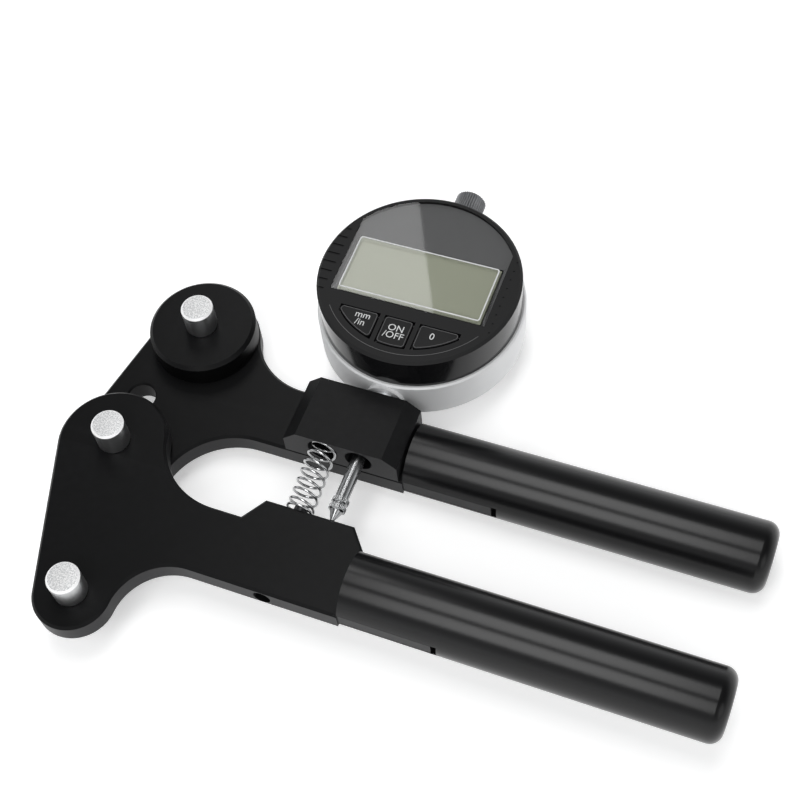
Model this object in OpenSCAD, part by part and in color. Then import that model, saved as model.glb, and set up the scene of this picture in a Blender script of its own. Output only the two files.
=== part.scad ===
// Spoke tension meter: two pivoted arms, three posts that bend a wheel spoke, and a digital
// indicator that reads how far the arms stand apart.
// The origin is on the pivot axis, where the pivot post leaves the front arm's top face.
// X runs along the handles, Y from the front arm to the indicator, Z out of the arms' faces.

/* [Arms] */
// Thickness of both arm plates
plate_t = 7; // [6:0.5:9]
// Thickness of the washer between the plates at the pivot
washer_t = 0.5; // [0.4:0.1:1.5]
// Radius of both arms' ends round the pivot
pivot_lobe_r = 16; // [14:0.5:19]
// How far the round end's centre lies from the pivot, away from the handles
pivot_lobe_shift = 0.9; // [0:0.1:2]
// Radius of the front arm's end round its post
front_lobe_r = 11.2; // [9:0.1:13]
// Radius of the hollow between the front post and the front handle
front_hollow_r = 16.2; // [12:0.2:20]
// Radius of the front arm's hollow beside the pivot
front_neck_r = 22.4; // [18:0.2:24]
// Radius of the rear arm's hollow beside the pivot
rear_neck_r = 21.6; // [18:0.2:24]
// Radius of the rear arm's hollow beside the post disc
rear_hollow_r = 21; // [17:0.5:25]
// Height of the front arm's raised shoulder over the handle's side
shoulder_rise = 6.3; // [4:0.1:8]
// Depth of the hollow in the front arm, measured from the shoulder
neck_depth = 6.9; // [5:0.1:8]
// Length of the shoulder's straight side
shoulder_len = 26.2; // [22:0.2:30]
// How far the shoulder runs past the spindle's axis
shoulder_past = 7; // [5:0.2:9]
// Length of the sloped side that leads from the hollow to the shoulder
shoulder_ramp = 4.6; // [3:0.2:7]
// Diameter of the hole that hangs the tool on a hook
hang_hole_d = 8.3; // [6:0.1:10]
// Distance from the pivot to the hanging hole
hang_hole_y = 19.5; // [19:0.5:24]

/* [Posts] */
// Diameter of the three posts
post_d = 9.5; // [8:0.1:12]
// Height of the three posts over the arm's face
post_h = 8.8; // [6:0.2:12]
// Chamfer on the posts' tops
post_chamfer = 0.6; // [0.3:0.1:1]
// Place of the front post along the handles, from the pivot
front_post_x = 9.8; // [7:0.1:12]
// Distance of the front post from the pivot, across the handles
front_post_span = 46.5; // [45:0.5:50]
// Place of the rear post along the handles, from the pivot
rear_post_x = 7.7; // [5:0.1:10]
// Distance of the rear post from the pivot, across the handles
rear_post_span = 44.2; // [43:0.2:48]
// Diameter of the disc that carries the rear post
disc_d = 32; // [26:0.2:34]
// Chamfer on the disc's top edge
disc_chamfer = 1; // [0.5:0.1:1.5]

/* [Handles] */
// Diameter of the handles
handle_d = 20; // [18:0.5:22]
// Length of the handles
handle_len = 101; // [85:0.5:115]
// Rounding of the handles' free ends
handle_round = 3.6; // [2:0.2:5]
// Distance from the pivot to the rear handle's axis
rear_handle_y = 26.2; // [26:0.1:29]
// Distance from the pivot to the front handle's axis
front_handle_y = 20.3; // [19:0.1:22]
// Thickness of the tongues that the handles slide over
tang_t = 4.8; // [4:0.2:5.6]
// Length of the tongues
tang_len = 26; // [20:1:32]
// How far each handle's slot runs past its tongue
slot_spare = 1.6; // [0.6:0.2:3]
// Thread diameter of the handle screws
handle_screw_d = 4; // [3:0.5:4]
// Distance between the two screws in a handle
handle_screw_pitch = 12; // [9:1:14]

/* [Clamp block] */
// Height of the block that clamps the indicator
block_h = 10.2; // [10:0.1:12]
// Length of the block from the spindle's axis towards the pivot
block_left = 22.8; // [21:0.2:26]
// Length of the block from the spindle's axis towards the handle
block_right = 11.5; // [11:0.1:14]
// Length of the chamfer on the block's pivot side
block_left_chamfer = 4.2; // [2:0.2:5]
// Length of the chamfer on the block's handle side
block_right_chamfer = 4.2; // [2:0.2:5]
// Drop of the chamfer on the block's handle side
block_right_drop = 3.4; // [2:0.2:4.4]
// Height of the spindle's axis over the block's underside
stem_rise = 5.4; // [5.2:0.1:5.8]
// Gap between the block and the rear handle
block_gap = 1.1; // [0.6:0.1:2]
// Thread diameter of the screws that hold the block
block_screw_d = 4; // [3:0.5:4]
// Length of those screws inside the block
block_screw_grip = 6.6; // [5:0.2:8]
// Distance from the block's pivot side to its first screw
block_screw_inset = 5.9; // [5:0.1:7]

/* [Indicator] */
// Distance from the pivot to the spindle's axis
spindle_x = 68.4; // [66:0.2:72]
// Diameter of the spindle
spindle_d = 4; // [3.6:0.1:4.6]
// Diameter of the clamping stem
stem_d = 8; // [7.6:0.1:8.4]
// Distance from the block's front to the clamping stem's end
stem_recess = 6; // [1:0.5:7]
// Gap between the block and the indicator's case
case_gap = 2.1; // [1.6:0.1:4]
// Diameter of the silver case
case_d = 60.8; // [58:0.2:64]
// Height of the silver case
case_h = 12.3; // [12:0.1:14]
// Wall of the silver case
case_wall = 3; // [2.4:0.1:3.4]
// How far the case's underside lies below the spindle's axis
case_drop = 5.9; // [5.6:0.1:6.4]
// Diameter of the black front housing
bezel_d = 58.8; // [57:0.2:60]
// Height of the black front housing
bezel_h = 11.2; // [10.4:0.2:13]
// Wall of the black front housing
bezel_wall = 2.2; // [1.8:0.1:2.6]
// Thickness of the front housing's face
bezel_deck = 2; // [1.8:0.1:2.6]
// Width of the display
lcd_w = 43; // [38:0.5:43.5]
// Height of the display
lcd_h = 19.3; // [16:0.1:20]
// Width of the window pane
lens_w = 46; // [45:0.2:47]
// Radius of the window pane's arched side
lens_r = 27.6; // [27:0.1:28]
// Thickness of the window pane
lens_t = 1; // [0.8:0.1:1.2]
// Width of the middle button
button_w = 8.4; // [7:0.2:9]
// Width of each outer button
side_button_w = 11.4; // [9:0.2:12]
// Gap between the buttons
button_pitch_gap = 2; // [1.6:0.1:2.6]
// Distance from the indicator's centre to the buttons' straight side
button_y = 15.2; // [15:0.1:16]
// Radius of the arc that ends the buttons
button_r = 24.4; // [23:0.1:25]
// How far a button travels
button_travel = 0.5; // [0.3:0.1:0.8]
// Distance from one mark beside the display to the next
mark_pitch = 3.15; // [2.8:0.05:3.2]
// Height of the middle groove over the indicator's centre
groove_mid = 1.1; // [0:0.1:1.2]
// Height of the middle dot over the indicator's centre
dot_mid = 0.4; // [0:0.1:0.6]
// Diameter of the lifting knob
knob_d = 9.4; // [8:0.2:11]
// Length of the lifting knob
knob_len = 8; // [6:0.5:10]
// Distance from the case to the lifting knob
knob_gap = 6.4; // [6:0.2:9]
// Number of grooves round the lifting knob
knob_grooves = 26; // [16:1:32]
// Diameter of the contact point's collar
collar_d = 5.8; // [4.8:0.1:6]
// Length of the contact point's collar
collar_len = 4; // [3:0.1:5]
// Length of the contact point's cone
cone_len = 3.5; // [2.5:0.1:4.5]
// Diameter of the coin cell
cell_d = 20; // [16:1:20]
// Thickness of the coin cell
cell_t = 3.2; // [2:0.2:3.2]
// How far the battery cap reaches past the coin cell
cap_rim = 1.2; // [0.8:0.1:2]
// Distance from the battery cap to the case's wall
cap_margin = 1.7; // [1:0.1:3]
// Distance from the case's top to the screw posts' tops
lug_recess = 3; // [2:0.1:4]
// Width of the scale's carrier
carrier_w = 8; // [7:0.5:10]
// Length of the scale's carrier
carrier_len = 9; // [6:0.5:10]
// Height of the scale's carrier
carrier_h = 6; // [5.2:0.1:6.4]
// Distance from the carrier's front to the indicator's centre
carrier_back = 10; // [9:0.5:11]

/* [Spring] */
// Wire of the spring that parts the arms
spring_wire = 0.8; // [0.6:0.05:1]
// Outer diameter of the spring
spring_d = 8.3; // [7.6:0.1:8.6]
// Turns between the two close end turns
spring_turns = 7.1; // [5:0.1:8]
// Rise of a close end turn
spring_end_pitch = 1.3; // [1.25:0.05:1.5]
// Distance from the spindle's axis to the spring's pocket in the block
pocket_offset = 10.8; // [10:0.1:13]
// Diameter of the spring's pocket
pocket_d = 9; // [8.8:0.1:9.6]
// Depth of the spring's pocket
pocket_depth = 5; // [3:0.5:8]
// Distance from the spindle's axis to the preload screw
preload_offset = 9.8; // [9:0.1:12]
// Thread diameter of the preload screw
preload_d = 5; // [4:0.5:5]
// Length of the preload screw's body
preload_len = 12; // [8:0.5:18]

/* [Pivot] */
// Diameter of the pivot bolt's shank
pivot_d = 8; // [7:0.5:9]
// Diameter of the pivot bolt's head
pivot_head_d = 13; // [12:0.5:15]
// Thickness of the pivot bolt's head
pivot_head_t = 2.6; // [2:0.1:3]
// Outer diameter of the pivot bush
bush_d = 11; // [10.5:0.5:11.5]
// Diameter of the washer between the plates
washer_d = 20; // [16:1:24]
// Thread diameter of the screws that hold the posts
post_screw_d = 5; // [4:0.5:5]

/* [Fits] */
// Clearance between a fixed piece and its hole, on the radius
fixed_fit = 0.03; // [0.02:0.01:0.05]
// Clearance between a turning or sliding piece and its guide, on the radius
running_fit = 0.06; // [0.03:0.01:0.08]
// Gap between pieces that face each other without touching
face_gap = 0.1; // [0.05:0.05:0.3]
// Gap round the buttons
button_gap = 0.3; // [0.2:0.05:0.5]

/* [Hidden] */
$fn = 64;

// Heights: the front arm's top face is zero
front_bottom = -plate_t;
rear_top = front_bottom - washer_t;
rear_bottom = rear_top - plate_t;
front_axis_z = -tang_t / 2;
rear_axis_z = rear_top - tang_t / 2;
handle_r = handle_d / 2;
tang_w = 2 * sqrt(handle_r * handle_r - tang_t * tang_t / 4);

// Places in the plan
lobe_at = [-pivot_lobe_shift, 0];
front_post_at = [front_post_x, -front_post_span];
rear_post_at = [rear_post_x, rear_post_span];
disc_r = disc_d / 2;
rear_lobe_r = disc_r + 0.3;
rear_side = rear_handle_y - handle_r;
rear_edge = rear_handle_y + handle_r;
front_side = -front_handle_y - handle_r;
shoulder_y = -front_handle_y + handle_r + shoulder_rise;
neck_y = shoulder_y - neck_depth;
shoulder_x = spindle_x + shoulder_past - shoulder_len;
block_x = spindle_x - block_left;
block_end = spindle_x + block_right;
rear_handle_x = block_end + block_gap;
front_handle_x = rear_handle_x - 0.6;
hang_hole_at = [-2.6, hang_hole_y];

// Clamp block and spindle
stem_z = rear_top + stem_rise;
block_screw_xs = [block_x + block_screw_inset, spindle_x + (stem_d / 2 + block_right) / 2];
block_screw_len = plate_t + block_screw_grip;
clamp_screw_y = rear_handle_y + 3;

// Indicator
case_r = case_d / 2;
case_in = case_r - case_wall;
dial_y = rear_edge + case_gap + case_r;
case_bottom = stem_z - case_drop;
case_top = case_bottom + case_h;
bezel_r = bezel_d / 2;
bezel_in = bezel_r - bezel_wall;
bezel_top = case_top + bezel_h;
back_t = 1.8;
lug_r = 2.6;
lug_at = case_in - 2.2;
lug_angles = [45, 135, 225, 315];
board_z = case_top + 1.5;
board_t = 1.2;
display_t = 1.6;
display_z = bezel_top - lens_t - face_gap - display_t;
cap_d = cell_d + 2 * cap_rim;
cell_at = [case_in - cap_margin - cap_d / 2, 0];
tip_y = shoulder_y + face_gap;
collar_y = tip_y + cone_len;
spindle_start = collar_y + collar_len;
knob_y = dial_y + case_r + knob_gap;

// Spring: its axis leans from the preload screw to the pocket
spring_r = (spring_d - spring_wire) / 2;
spring_start = [spindle_x - preload_offset, shoulder_y + face_gap + spring_wire / 2,
                front_bottom / 2 + 0.7];
spring_finish = [spindle_x - pocket_offset, rear_side + pocket_depth - face_gap - spring_wire / 2,
                 stem_z];
spring_all_turns = spring_turns + 2;
spring_rings = 8;
spring_sides = 6;

// ---------- Functions ----------

// Centre of a circle of radius r that touches a straight edge at y and the circle at c
function hollow_at(c, c_r, y, r, side) =
    let (cy = y + side * r, dy = cy - c[1]) [c[0] + sqrt(pow(c_r + r, 2) - dy * dy), cy];

// Points where the left-hand common tangent of two circles touches them
function left_tangent(a, a_r, b, b_r) =
    let (
        d = b - a,
        turn = atan2(d[1], d[0]) + acos((a_r - b_r) / norm(d)),
        n = [cos(turn), sin(turn)]
    ) [a + a_r * n, b + b_r * n];

// How far along the spring's axis turn t lies, from 0 to 1
spring_span = spring_finish[1] - spring_start[1];
spring_pitch = (spring_span - 2 * spring_end_pitch) / spring_turns;
function spring_rise(t) =
    t < 1 ? spring_end_pitch * t :
    t > spring_all_turns - 1 ? spring_span - spring_end_pitch * (spring_all_turns - t) :
    spring_end_pitch + spring_pitch * (t - 1);

// Point of the wire's centre line at turn t
function wire_at(t) =
    let (u = spring_rise(t) / spring_span, c = spring_start + u * (spring_finish - spring_start))
    [c[0] + spring_r * cos(360 * t), c[1], c[2] + spring_r * sin(360 * t)];

function unit(v) = v / norm(v);

// Ring of points round the wire at turn t; the end rings are square to the winding
function wire_ring(t) =
    let (
        p = wire_at(t),
        along = unit(wire_at(min(t + 0.01, spring_all_turns)) - wire_at(max(t - 0.01, 0))),
        out = unit([cos(360 * t), 0, sin(360 * t)]),
        up = unit(cross(along, out))
    )
    [for (i = [0 : spring_sides - 1])
        p + spring_wire / 2 * (cos(360 * i / spring_sides) * out + sin(360 * i / spring_sides) * up)];

// Least gap between the wire's turns
spring_steps = round(spring_all_turns * spring_rings);
spring_points = [for (i = [0 : spring_steps]) wire_at(spring_all_turns * i / spring_steps)];
spring_gaps = [
    for (i = [0 : spring_steps], j = [i + round(spring_rings * 0.6) : 1 : spring_steps])
        norm(spring_points[i] - spring_points[j]) - spring_wire
];
echo(least_spring_gap = min(spring_gaps));

// ---------- Shared shapes ----------

// Solid between a round end at c and a straight edge at y, hollowed by a circle of radius r
module hollow(c, c_r, y, r, side) {
    h = hollow_at(c, c_r, y, r, side);
    difference() {
        polygon([c, h, [h[0], y - side], [c[0], y - side]]);
        translate(h) circle(r);
    }
}

// Two round ends joined by their left-hand common tangent
module joined_ends(a, a_r, b, b_r) {
    touch = left_tangent(a, a_r, b, b_r);
    translate(a) circle(a_r);
    translate(b) circle(b_r);
    polygon([a, touch[0], touch[1], b]);
}

// Countersunk screw that points up from z = 0
module screw(d, len, head = 2) {
    difference() {
        union() {
            cylinder(h = len, d = d);
            cylinder(h = d * (head - 1) / 2, d1 = d * head, d2 = d);
        }
        translate([0, 0, -1]) cylinder(h = 1 + d * 0.45, d = d * 0.62, $fn = 6);
    }
}

// Hole that takes such a screw
module screw_hole(d, len, head = 2) {
    gap = fixed_fit;
    translate([0, 0, -1]) cylinder(h = len + 1 + face_gap, r = d / 2 + gap);
    cylinder(h = d * (head - 1) / 2, r1 = d * head / 2 + gap, r2 = d / 2 + gap);
    translate([0, 0, -1]) cylinder(h = 1.001, r = d * head / 2 + gap);
}

// Places its children at each handle screw: s is the handle's start, y its axis, z its underside
module at_handle_screws(x, y, z) {
    for (i = [0, 1]) translate([x + (tang_len - handle_screw_pitch) / 2 + i * handle_screw_pitch, y, z])
        children();
}

handle_screw_rise = 1.2;
handle_screw_len = handle_r - handle_screw_rise + tang_t / 2 - 0.8;

// Turned bar with a rounded free end, slotted over its tongue
module handle(x, y, z) {
    translate([x, y, z]) difference() {
        rotate([0, 90, 0]) rotate_extrude() {
            square([handle_r - handle_round, handle_len]);
            square([handle_r, handle_len - handle_round]);
            translate([handle_r - handle_round, handle_len - handle_round]) circle(handle_round);
        }
        translate([-1, -handle_d, -tang_t / 2 - face_gap / 2])
            cube([tang_len + slot_spare + 1, 2 * handle_d, tang_t + face_gap]);
        at_handle_screws(0, 0, -handle_r + handle_screw_rise)
            screw_hole(handle_screw_d, handle_screw_len);
        at_handle_screws(0, 0, -handle_r - 1) cylinder(h = 1 + handle_screw_rise, r = handle_screw_d + fixed_fit);
    }
}

// Tongue that carries a handle; its top is flush with the arm's face
module tang(x, y, top) {
    difference() {
        translate([x - 1, y - tang_w / 2, top - tang_t]) cube([tang_len + 1, tang_w, tang_t]);
        at_handle_screws(x, y, top - tang_t / 2 - handle_r + handle_screw_rise)
            screw_hole(handle_screw_d, handle_screw_len);
    }
}

// Post with a chamfered top and a threaded hole from below
module post(screw_d, depth) {
    difference() {
        union() {
            cylinder(h = post_h - post_chamfer, d = post_d);
            translate([0, 0, post_h - post_chamfer])
                cylinder(h = post_chamfer, d1 = post_d, d2 = post_d - 2 * post_chamfer);
        }
        translate([0, 0, -1]) cylinder(h = depth + 1 + face_gap, r = screw_d / 2 + fixed_fit);
    }
}

// Puts its children on the indicator's centre, at height z
module on_dial(z = 0) {
    translate([spindle_x, dial_y, z]) children();
}

// Rod along Y from y0 to y1 on the spindle's axis
module spindle_rod(y0, y1, r) {
    translate([spindle_x, y1, stem_z]) rotate([90, 0, 0]) cylinder(h = y1 - y0, r = r);
}

// ---------- Rear arm ----------

module rear_outline() {
    joined_ends(lobe_at, pivot_lobe_r, rear_post_at, rear_lobe_r);
    translate([0, rear_side]) square([rear_handle_x, handle_d]);
    translate([0, lobe_at[1]]) square([rear_post_x, rear_post_span]);
    hollow(lobe_at, pivot_lobe_r, rear_side, rear_neck_r, -1);
    hollow(rear_post_at, rear_lobe_r, rear_edge, rear_hollow_r, 1);
}

post_screw_depth = 6;
rear_screw_len = plate_t + plate_t + washer_t + post_screw_depth;
front_screw_len = plate_t + post_screw_depth;
clamp_screw_top = stem_z - stem_d / 2;
clamp_screw_d = 4;

module rear_plate() {
    color("#202123") difference() {
        union() {
            translate([0, 0, rear_bottom]) linear_extrude(plate_t) rear_outline();
            tang(rear_handle_x, rear_handle_y, rear_top);
        }
        translate([0, 0, rear_bottom - 1]) cylinder(h = plate_t + 2, r = bush_d / 2 + fixed_fit);
        translate([0, 0, rear_bottom - 1])
            cylinder(h = pivot_head_t + 2 * face_gap + 1, d = pivot_head_d + 1);
        translate([rear_post_at[0], rear_post_at[1], rear_bottom]) screw_hole(post_screw_d, rear_screw_len);
        translate([hang_hole_at[0], hang_hole_at[1], rear_bottom - 1]) cylinder(h = plate_t + 2, d = hang_hole_d);
        for (x = block_screw_xs) translate([x, rear_handle_y, rear_bottom]) screw_hole(block_screw_d, block_screw_len);
        translate([spindle_x, clamp_screw_y, rear_bottom - 1])
            cylinder(h = plate_t + 2, r = clamp_screw_d / 2 + fixed_fit);
    }
}

module clamp_block() {
    top = rear_top + block_h;
    color("#232426") difference() {
        translate([0, rear_edge, 0]) rotate([90, 0, 0]) linear_extrude(handle_d) polygon([
            [block_x, rear_top],
            [block_end, rear_top],
            [block_end, top - block_right_drop],
            [block_end - block_right_chamfer, top],
            [block_x + block_left_chamfer, top],
            [block_x, top - block_left_chamfer]
        ]);
        spindle_rod(rear_side - 1, rear_edge + 1, stem_d / 2 + fixed_fit);
        translate([spindle_x - pocket_offset, rear_side + pocket_depth, stem_z]) rotate([90, 0, 0])
            cylinder(h = pocket_depth + 1, d = pocket_d);
        for (x = block_screw_xs) translate([x, rear_handle_y, rear_bottom]) screw_hole(block_screw_d, block_screw_len);
        translate([spindle_x, clamp_screw_y, rear_top - 1])
            cylinder(h = stem_z - rear_top, r = clamp_screw_d / 2 + fixed_fit);
    }
}

module block_screws() {
    color("#3a3a3c") for (x = block_screw_xs) translate([x, rear_handle_y, rear_bottom])
        screw(block_screw_d, block_screw_len);
}

module stem_clamp_screw() {
    recess = 0.6;
    color("#3a3a3c") translate([spindle_x, clamp_screw_y, rear_bottom + recess]) difference() {
        cylinder(h = clamp_screw_top - rear_bottom - recess, d = clamp_screw_d);
        translate([0, 0, -1]) cylinder(h = 3, d = clamp_screw_d / 2, $fn = 6);
    }
}

module post_disc() {
    h = -rear_top;
    color("#1d1e20") translate([rear_post_at[0], rear_post_at[1], rear_top]) difference() {
        union() {
            cylinder(h = h - disc_chamfer, r = disc_r);
            translate([0, 0, h - disc_chamfer]) cylinder(h = disc_chamfer, r1 = disc_r, r2 = disc_r - disc_chamfer);
        }
        translate([0, 0, -1]) cylinder(h = h + 2, r = post_screw_d / 2 + fixed_fit);
    }
}

module rear_post() {
    color("#c8c9ca") translate([rear_post_at[0], rear_post_at[1], 0]) post(post_screw_d, post_screw_depth);
}

module rear_post_screw() {
    color("#3a3a3c") translate([rear_post_at[0], rear_post_at[1], rear_bottom]) screw(post_screw_d, rear_screw_len);
}

module rear_handle() {
    color("#161617") handle(rear_handle_x, rear_handle_y, rear_axis_z);
}

module rear_handle_screws() {
    color("#3a3a3c") at_handle_screws(rear_handle_x, rear_handle_y, rear_axis_z - handle_r + handle_screw_rise)
        screw(handle_screw_d, handle_screw_len);
}

bush_bottom = rear_bottom + pivot_head_t + 2 * face_gap;

module pivot_bush() {
    color("#b08d57") translate([0, 0, bush_bottom]) difference() {
        cylinder(h = rear_top - bush_bottom, d = bush_d);
        translate([0, 0, -1]) cylinder(h = plate_t + 2, r = pivot_d / 2 + running_fit);
    }
}

module pivot_washer() {
    color("#d8d5c8") translate([0, 0, rear_top]) difference() {
        cylinder(h = washer_t, d = washer_d);
        translate([0, 0, -1]) cylinder(h = washer_t + 2, r = pivot_d / 2 + running_fit);
    }
}

// ---------- Front arm ----------

module front_outline() {
    joined_ends(front_post_at, front_lobe_r, lobe_at, pivot_lobe_r);
    translate([0, -front_post_span]) square([front_post_x, front_post_span]);
    translate([0, front_side]) square([front_handle_x, neck_y - front_side]);
    hollow(lobe_at, pivot_lobe_r, neck_y, front_neck_r, 1);
    hollow(front_post_at, front_lobe_r, front_side, front_hollow_r, -1);
    polygon([
        [shoulder_x - shoulder_ramp, neck_y],
        [shoulder_x, shoulder_y],
        [shoulder_x + shoulder_len, shoulder_y],
        [front_handle_x, -front_handle_y + handle_r],
        [front_handle_x, front_side],
        [shoulder_x - shoulder_ramp, front_side]
    ]);
}

module front_plate() {
    color("#1f2022") difference() {
        union() {
            translate([0, 0, front_bottom]) linear_extrude(plate_t) front_outline();
            tang(front_handle_x, -front_handle_y, 0);
        }
        translate([0, 0, front_bottom - 1]) cylinder(h = plate_t + 2, r = pivot_d / 2 + fixed_fit);
        translate([front_post_at[0], front_post_at[1], front_bottom]) screw_hole(post_screw_d, front_screw_len);
        translate([spindle_x - preload_offset, shoulder_y + 1, front_bottom / 2]) rotate([90, 0, 0])
            cylinder(h = shoulder_y - front_side + 2, r = preload_d / 2 + fixed_fit);
    }
}

module front_post() {
    color("#c8c9ca") translate([front_post_at[0], front_post_at[1], 0]) post(post_screw_d, post_screw_depth);
}

module front_post_screw() {
    color("#3a3a3c") translate([front_post_at[0], front_post_at[1], front_bottom])
        screw(post_screw_d, front_screw_len);
}

pivot_thread_d = 6;

module pivot_post() {
    color("#c8c9ca") post(pivot_thread_d, post_screw_depth);
}

module pivot_bolt() {
    bottom = rear_bottom + face_gap;
    color("#8c8d8f") difference() {
        union() {
            translate([0, 0, bottom]) cylinder(h = pivot_head_t, d = pivot_head_d);
            translate([0, 0, bottom]) cylinder(h = -bottom, d = pivot_d);
            cylinder(h = post_screw_depth, d = pivot_thread_d);
        }
        translate([0, 0, bottom - 1]) cylinder(h = 4, d = pivot_d / 2, $fn = 6);
    }
}

module front_handle() {
    color("#161617") handle(front_handle_x, -front_handle_y, front_axis_z);
}

module front_handle_screws() {
    color("#3a3a3c") at_handle_screws(front_handle_x, -front_handle_y, front_axis_z - handle_r + handle_screw_rise)
        screw(handle_screw_d, handle_screw_len);
}

// Grub screw whose nose stands in the spring's end turn
module preload_screw() {
    nose = 2;
    color("#55565a") translate([spindle_x - preload_offset, shoulder_y, front_bottom / 2]) rotate([90, 0, 0])
        difference() {
            union() {
                translate([0, 0, 0.5]) cylinder(h = preload_len, d = preload_d);
                translate([0, 0, -nose]) cylinder(h = nose + 1, d = preload_d * 0.8);
            }
            translate([0, 0, preload_len - 2.5]) cylinder(h = 4, d = preload_d / 2, $fn = 6);
        }
}

// Compression spring: one unbroken wire swept along its helix
module arm_spring() {
    rings = [for (i = [0 : spring_steps]) each wire_ring(spring_all_turns * i / spring_steps)];
    n = spring_sides;
    last = spring_steps * n;
    walls = [
        for (i = [0 : spring_steps - 1], j = [0 : n - 1])
            let (a = i * n + j, b = i * n + (j + 1) % n)
            each [[a, b, a + n], [b, b + n, a + n]]
    ];
    ends = [for (j = [1 : n - 2]) each [[0, j + 1, j], [last, last + j, last + j + 1]]];
    color("#d4d5d6") polyhedron(rings, concat(walls, ends));
}

// ---------- Indicator ----------

module dial_case() {
    boss_r = 5.6;
    color("#c4c6c8") difference() {
        union() {
            on_dial(case_bottom) difference() {
                union() {
                    cylinder(h = case_h - 0.5, r = case_r);
                    translate([0, 0, case_h - 0.5]) cylinder(h = 0.5, r1 = case_r, r2 = case_r - 0.5);
                }
                translate([0, 0, -1]) cylinder(h = case_h + 2, r = case_in);
            }
            spindle_rod(rear_edge + case_gap - 0.9, dial_y - case_in - 0.2, boss_r);
            spindle_rod(dial_y + case_in + 0.2, dial_y + case_r + 1.2, boss_r);
            on_dial(case_bottom + back_t) for (a = lug_angles) rotate(a) translate([lug_at, 0, 0])
                cylinder(h = case_h - back_t - lug_recess, r = lug_r);
        }
        spindle_rod(0, dial_y, stem_d / 2 + fixed_fit);
        spindle_rod(dial_y, dial_y + case_d, stem_d / 2 + fixed_fit);
        on_dial(case_bottom) for (a = lug_angles) rotate(a) translate([lug_at, 0, 0])
            screw_hole(back_screw_d, back_screw_len);
    }
}

back_screw_d = 2;
back_screw_len = 5;

module dial_back() {
    color("#55575a") on_dial(case_bottom) difference() {
        cylinder(h = back_t, r = case_in - fixed_fit);
        translate([cell_at[0], cell_at[1], -1]) cylinder(h = back_t + 2, r = cap_d / 2 + fixed_fit);
        for (a = lug_angles) rotate(a) translate([lug_at, 0, 0]) screw_hole(back_screw_d, back_screw_len);
    }
}

module back_screws() {
    color("#8c8d8f") on_dial(case_bottom) for (a = lug_angles) rotate(a) translate([lug_at, 0, 0])
        screw(back_screw_d, back_screw_len);
}

// Cap that closes the battery's place, turned with a coin
module battery_cap() {
    color("#2b2c2e") on_dial(case_bottom) translate([cell_at[0], cell_at[1], 0]) difference() {
        cylinder(h = back_t, d = cap_d);
        translate([-cap_d * 0.35, -0.8, -1]) cube([cap_d * 0.7, 1.6, 1.7]);
    }
}

module coin_cell() {
    color("#b9babc") on_dial(case_bottom + back_t) translate([cell_at[0], cell_at[1], 0])
        cylinder(h = cell_t, d = cell_d);
}

// Outline of the three buttons: i is -1, 0 or 1 from left to right; grow widens it
module button_outline(i, grow = 0) {
    w = i == 0 ? button_w : side_button_w;
    x = i == 0 ? -button_w / 2 : i > 0 ? button_w / 2 + button_pitch_gap : -button_w / 2 - button_pitch_gap - w;
    intersection() {
        circle(button_r + grow);
        translate([x - grow, -button_r - grow]) square([w + 2 * grow, button_r - button_y + 2 * grow]);
    }
}

// Outline of the window pane, a disc cut off at both sides and below
module pane_outline(grow = 0) {
    below = lcd_h / 2 + 0.9;
    intersection() {
        circle(lens_r + grow);
        translate([-lens_w / 2 - grow, -below - grow]) square([lens_w + 2 * grow, lens_r + below + 2 * grow]);
    }
}

mark_count = 9;

module dial_bezel() {
    spigot = 1.5;
    edge = 0.8;
    color("#18191a") on_dial(case_top) difference() {
        union() {
            cylinder(h = bezel_h - edge, r = bezel_r);
            translate([0, 0, bezel_h - edge]) cylinder(h = edge, r1 = bezel_r, r2 = bezel_r - edge);
            translate([0, 0, -spigot]) cylinder(h = spigot, r = case_in - fixed_fit);
        }
        translate([0, 0, board_z - case_top]) cylinder(h = bezel_h - bezel_deck - board_z + case_top, r = bezel_in);
        translate([0, 0, -spigot - 1]) cylinder(h = spigot + 3, r = bezel_in - 1.8);
        translate([0, 0, bezel_h - lens_t]) linear_extrude(lens_t + 1) pane_outline(fixed_fit);
        translate([-lcd_w / 2 - 0.4, -lcd_h / 2 - 0.4, 0]) cube([lcd_w + 0.8, lcd_h + 0.8, bezel_h + 1]);
        for (i = [-1 : 1]) linear_extrude(bezel_h + 1) button_outline(i, button_gap);
        for (i = [0 : mark_count - 1]) {
            y = (i - (mark_count - 1) / 2) * mark_pitch;
            translate([-bezel_r - 1, y + groove_mid - 0.3, bezel_h - 0.35])
                cube([bezel_r + 1 - lens_w / 2 - 1.8, 0.6, 1]);
            translate([lens_w / 2 + 2, y + dot_mid, bezel_h - 0.3]) cylinder(h = 1, r = 0.25, $fn = 16);
        }
    }
}

module window_pane() {
    color("#3d4042", 0.5) on_dial(bezel_top - lens_t) linear_extrude(lens_t) pane_outline();
}

module display() {
    color("#9a9c88") on_dial(display_z) translate([-lcd_w / 2, -lcd_h / 2, 0]) cube([lcd_w, lcd_h, display_t]);
}

module display_frame() {
    bottom = board_z + board_t;
    rim = 1.6;
    color("#2a2b2d") on_dial(bottom) difference() {
        translate([-lcd_w / 2, -lcd_h / 2, 0]) cube([lcd_w, lcd_h, display_z - bottom]);
        translate([-lcd_w / 2 + rim, -lcd_h / 2 + rim, -1])
            cube([lcd_w - 2 * rim, lcd_h - 2 * rim, display_z - bottom + 2]);
    }
}

switch_h = 1;
button_proud = 0.2;
button_cap = bezel_deck + button_proud;

module circuit_board() {
    color("#2f6b3c") on_dial(board_z) {
        cylinder(h = board_t, r = bezel_in - fixed_fit - face_gap);
        for (i = [-1 : 1]) translate([button_x(i), -button_mid, board_t]) cylinder(h = switch_h, d = 4);
    }
}

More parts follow.
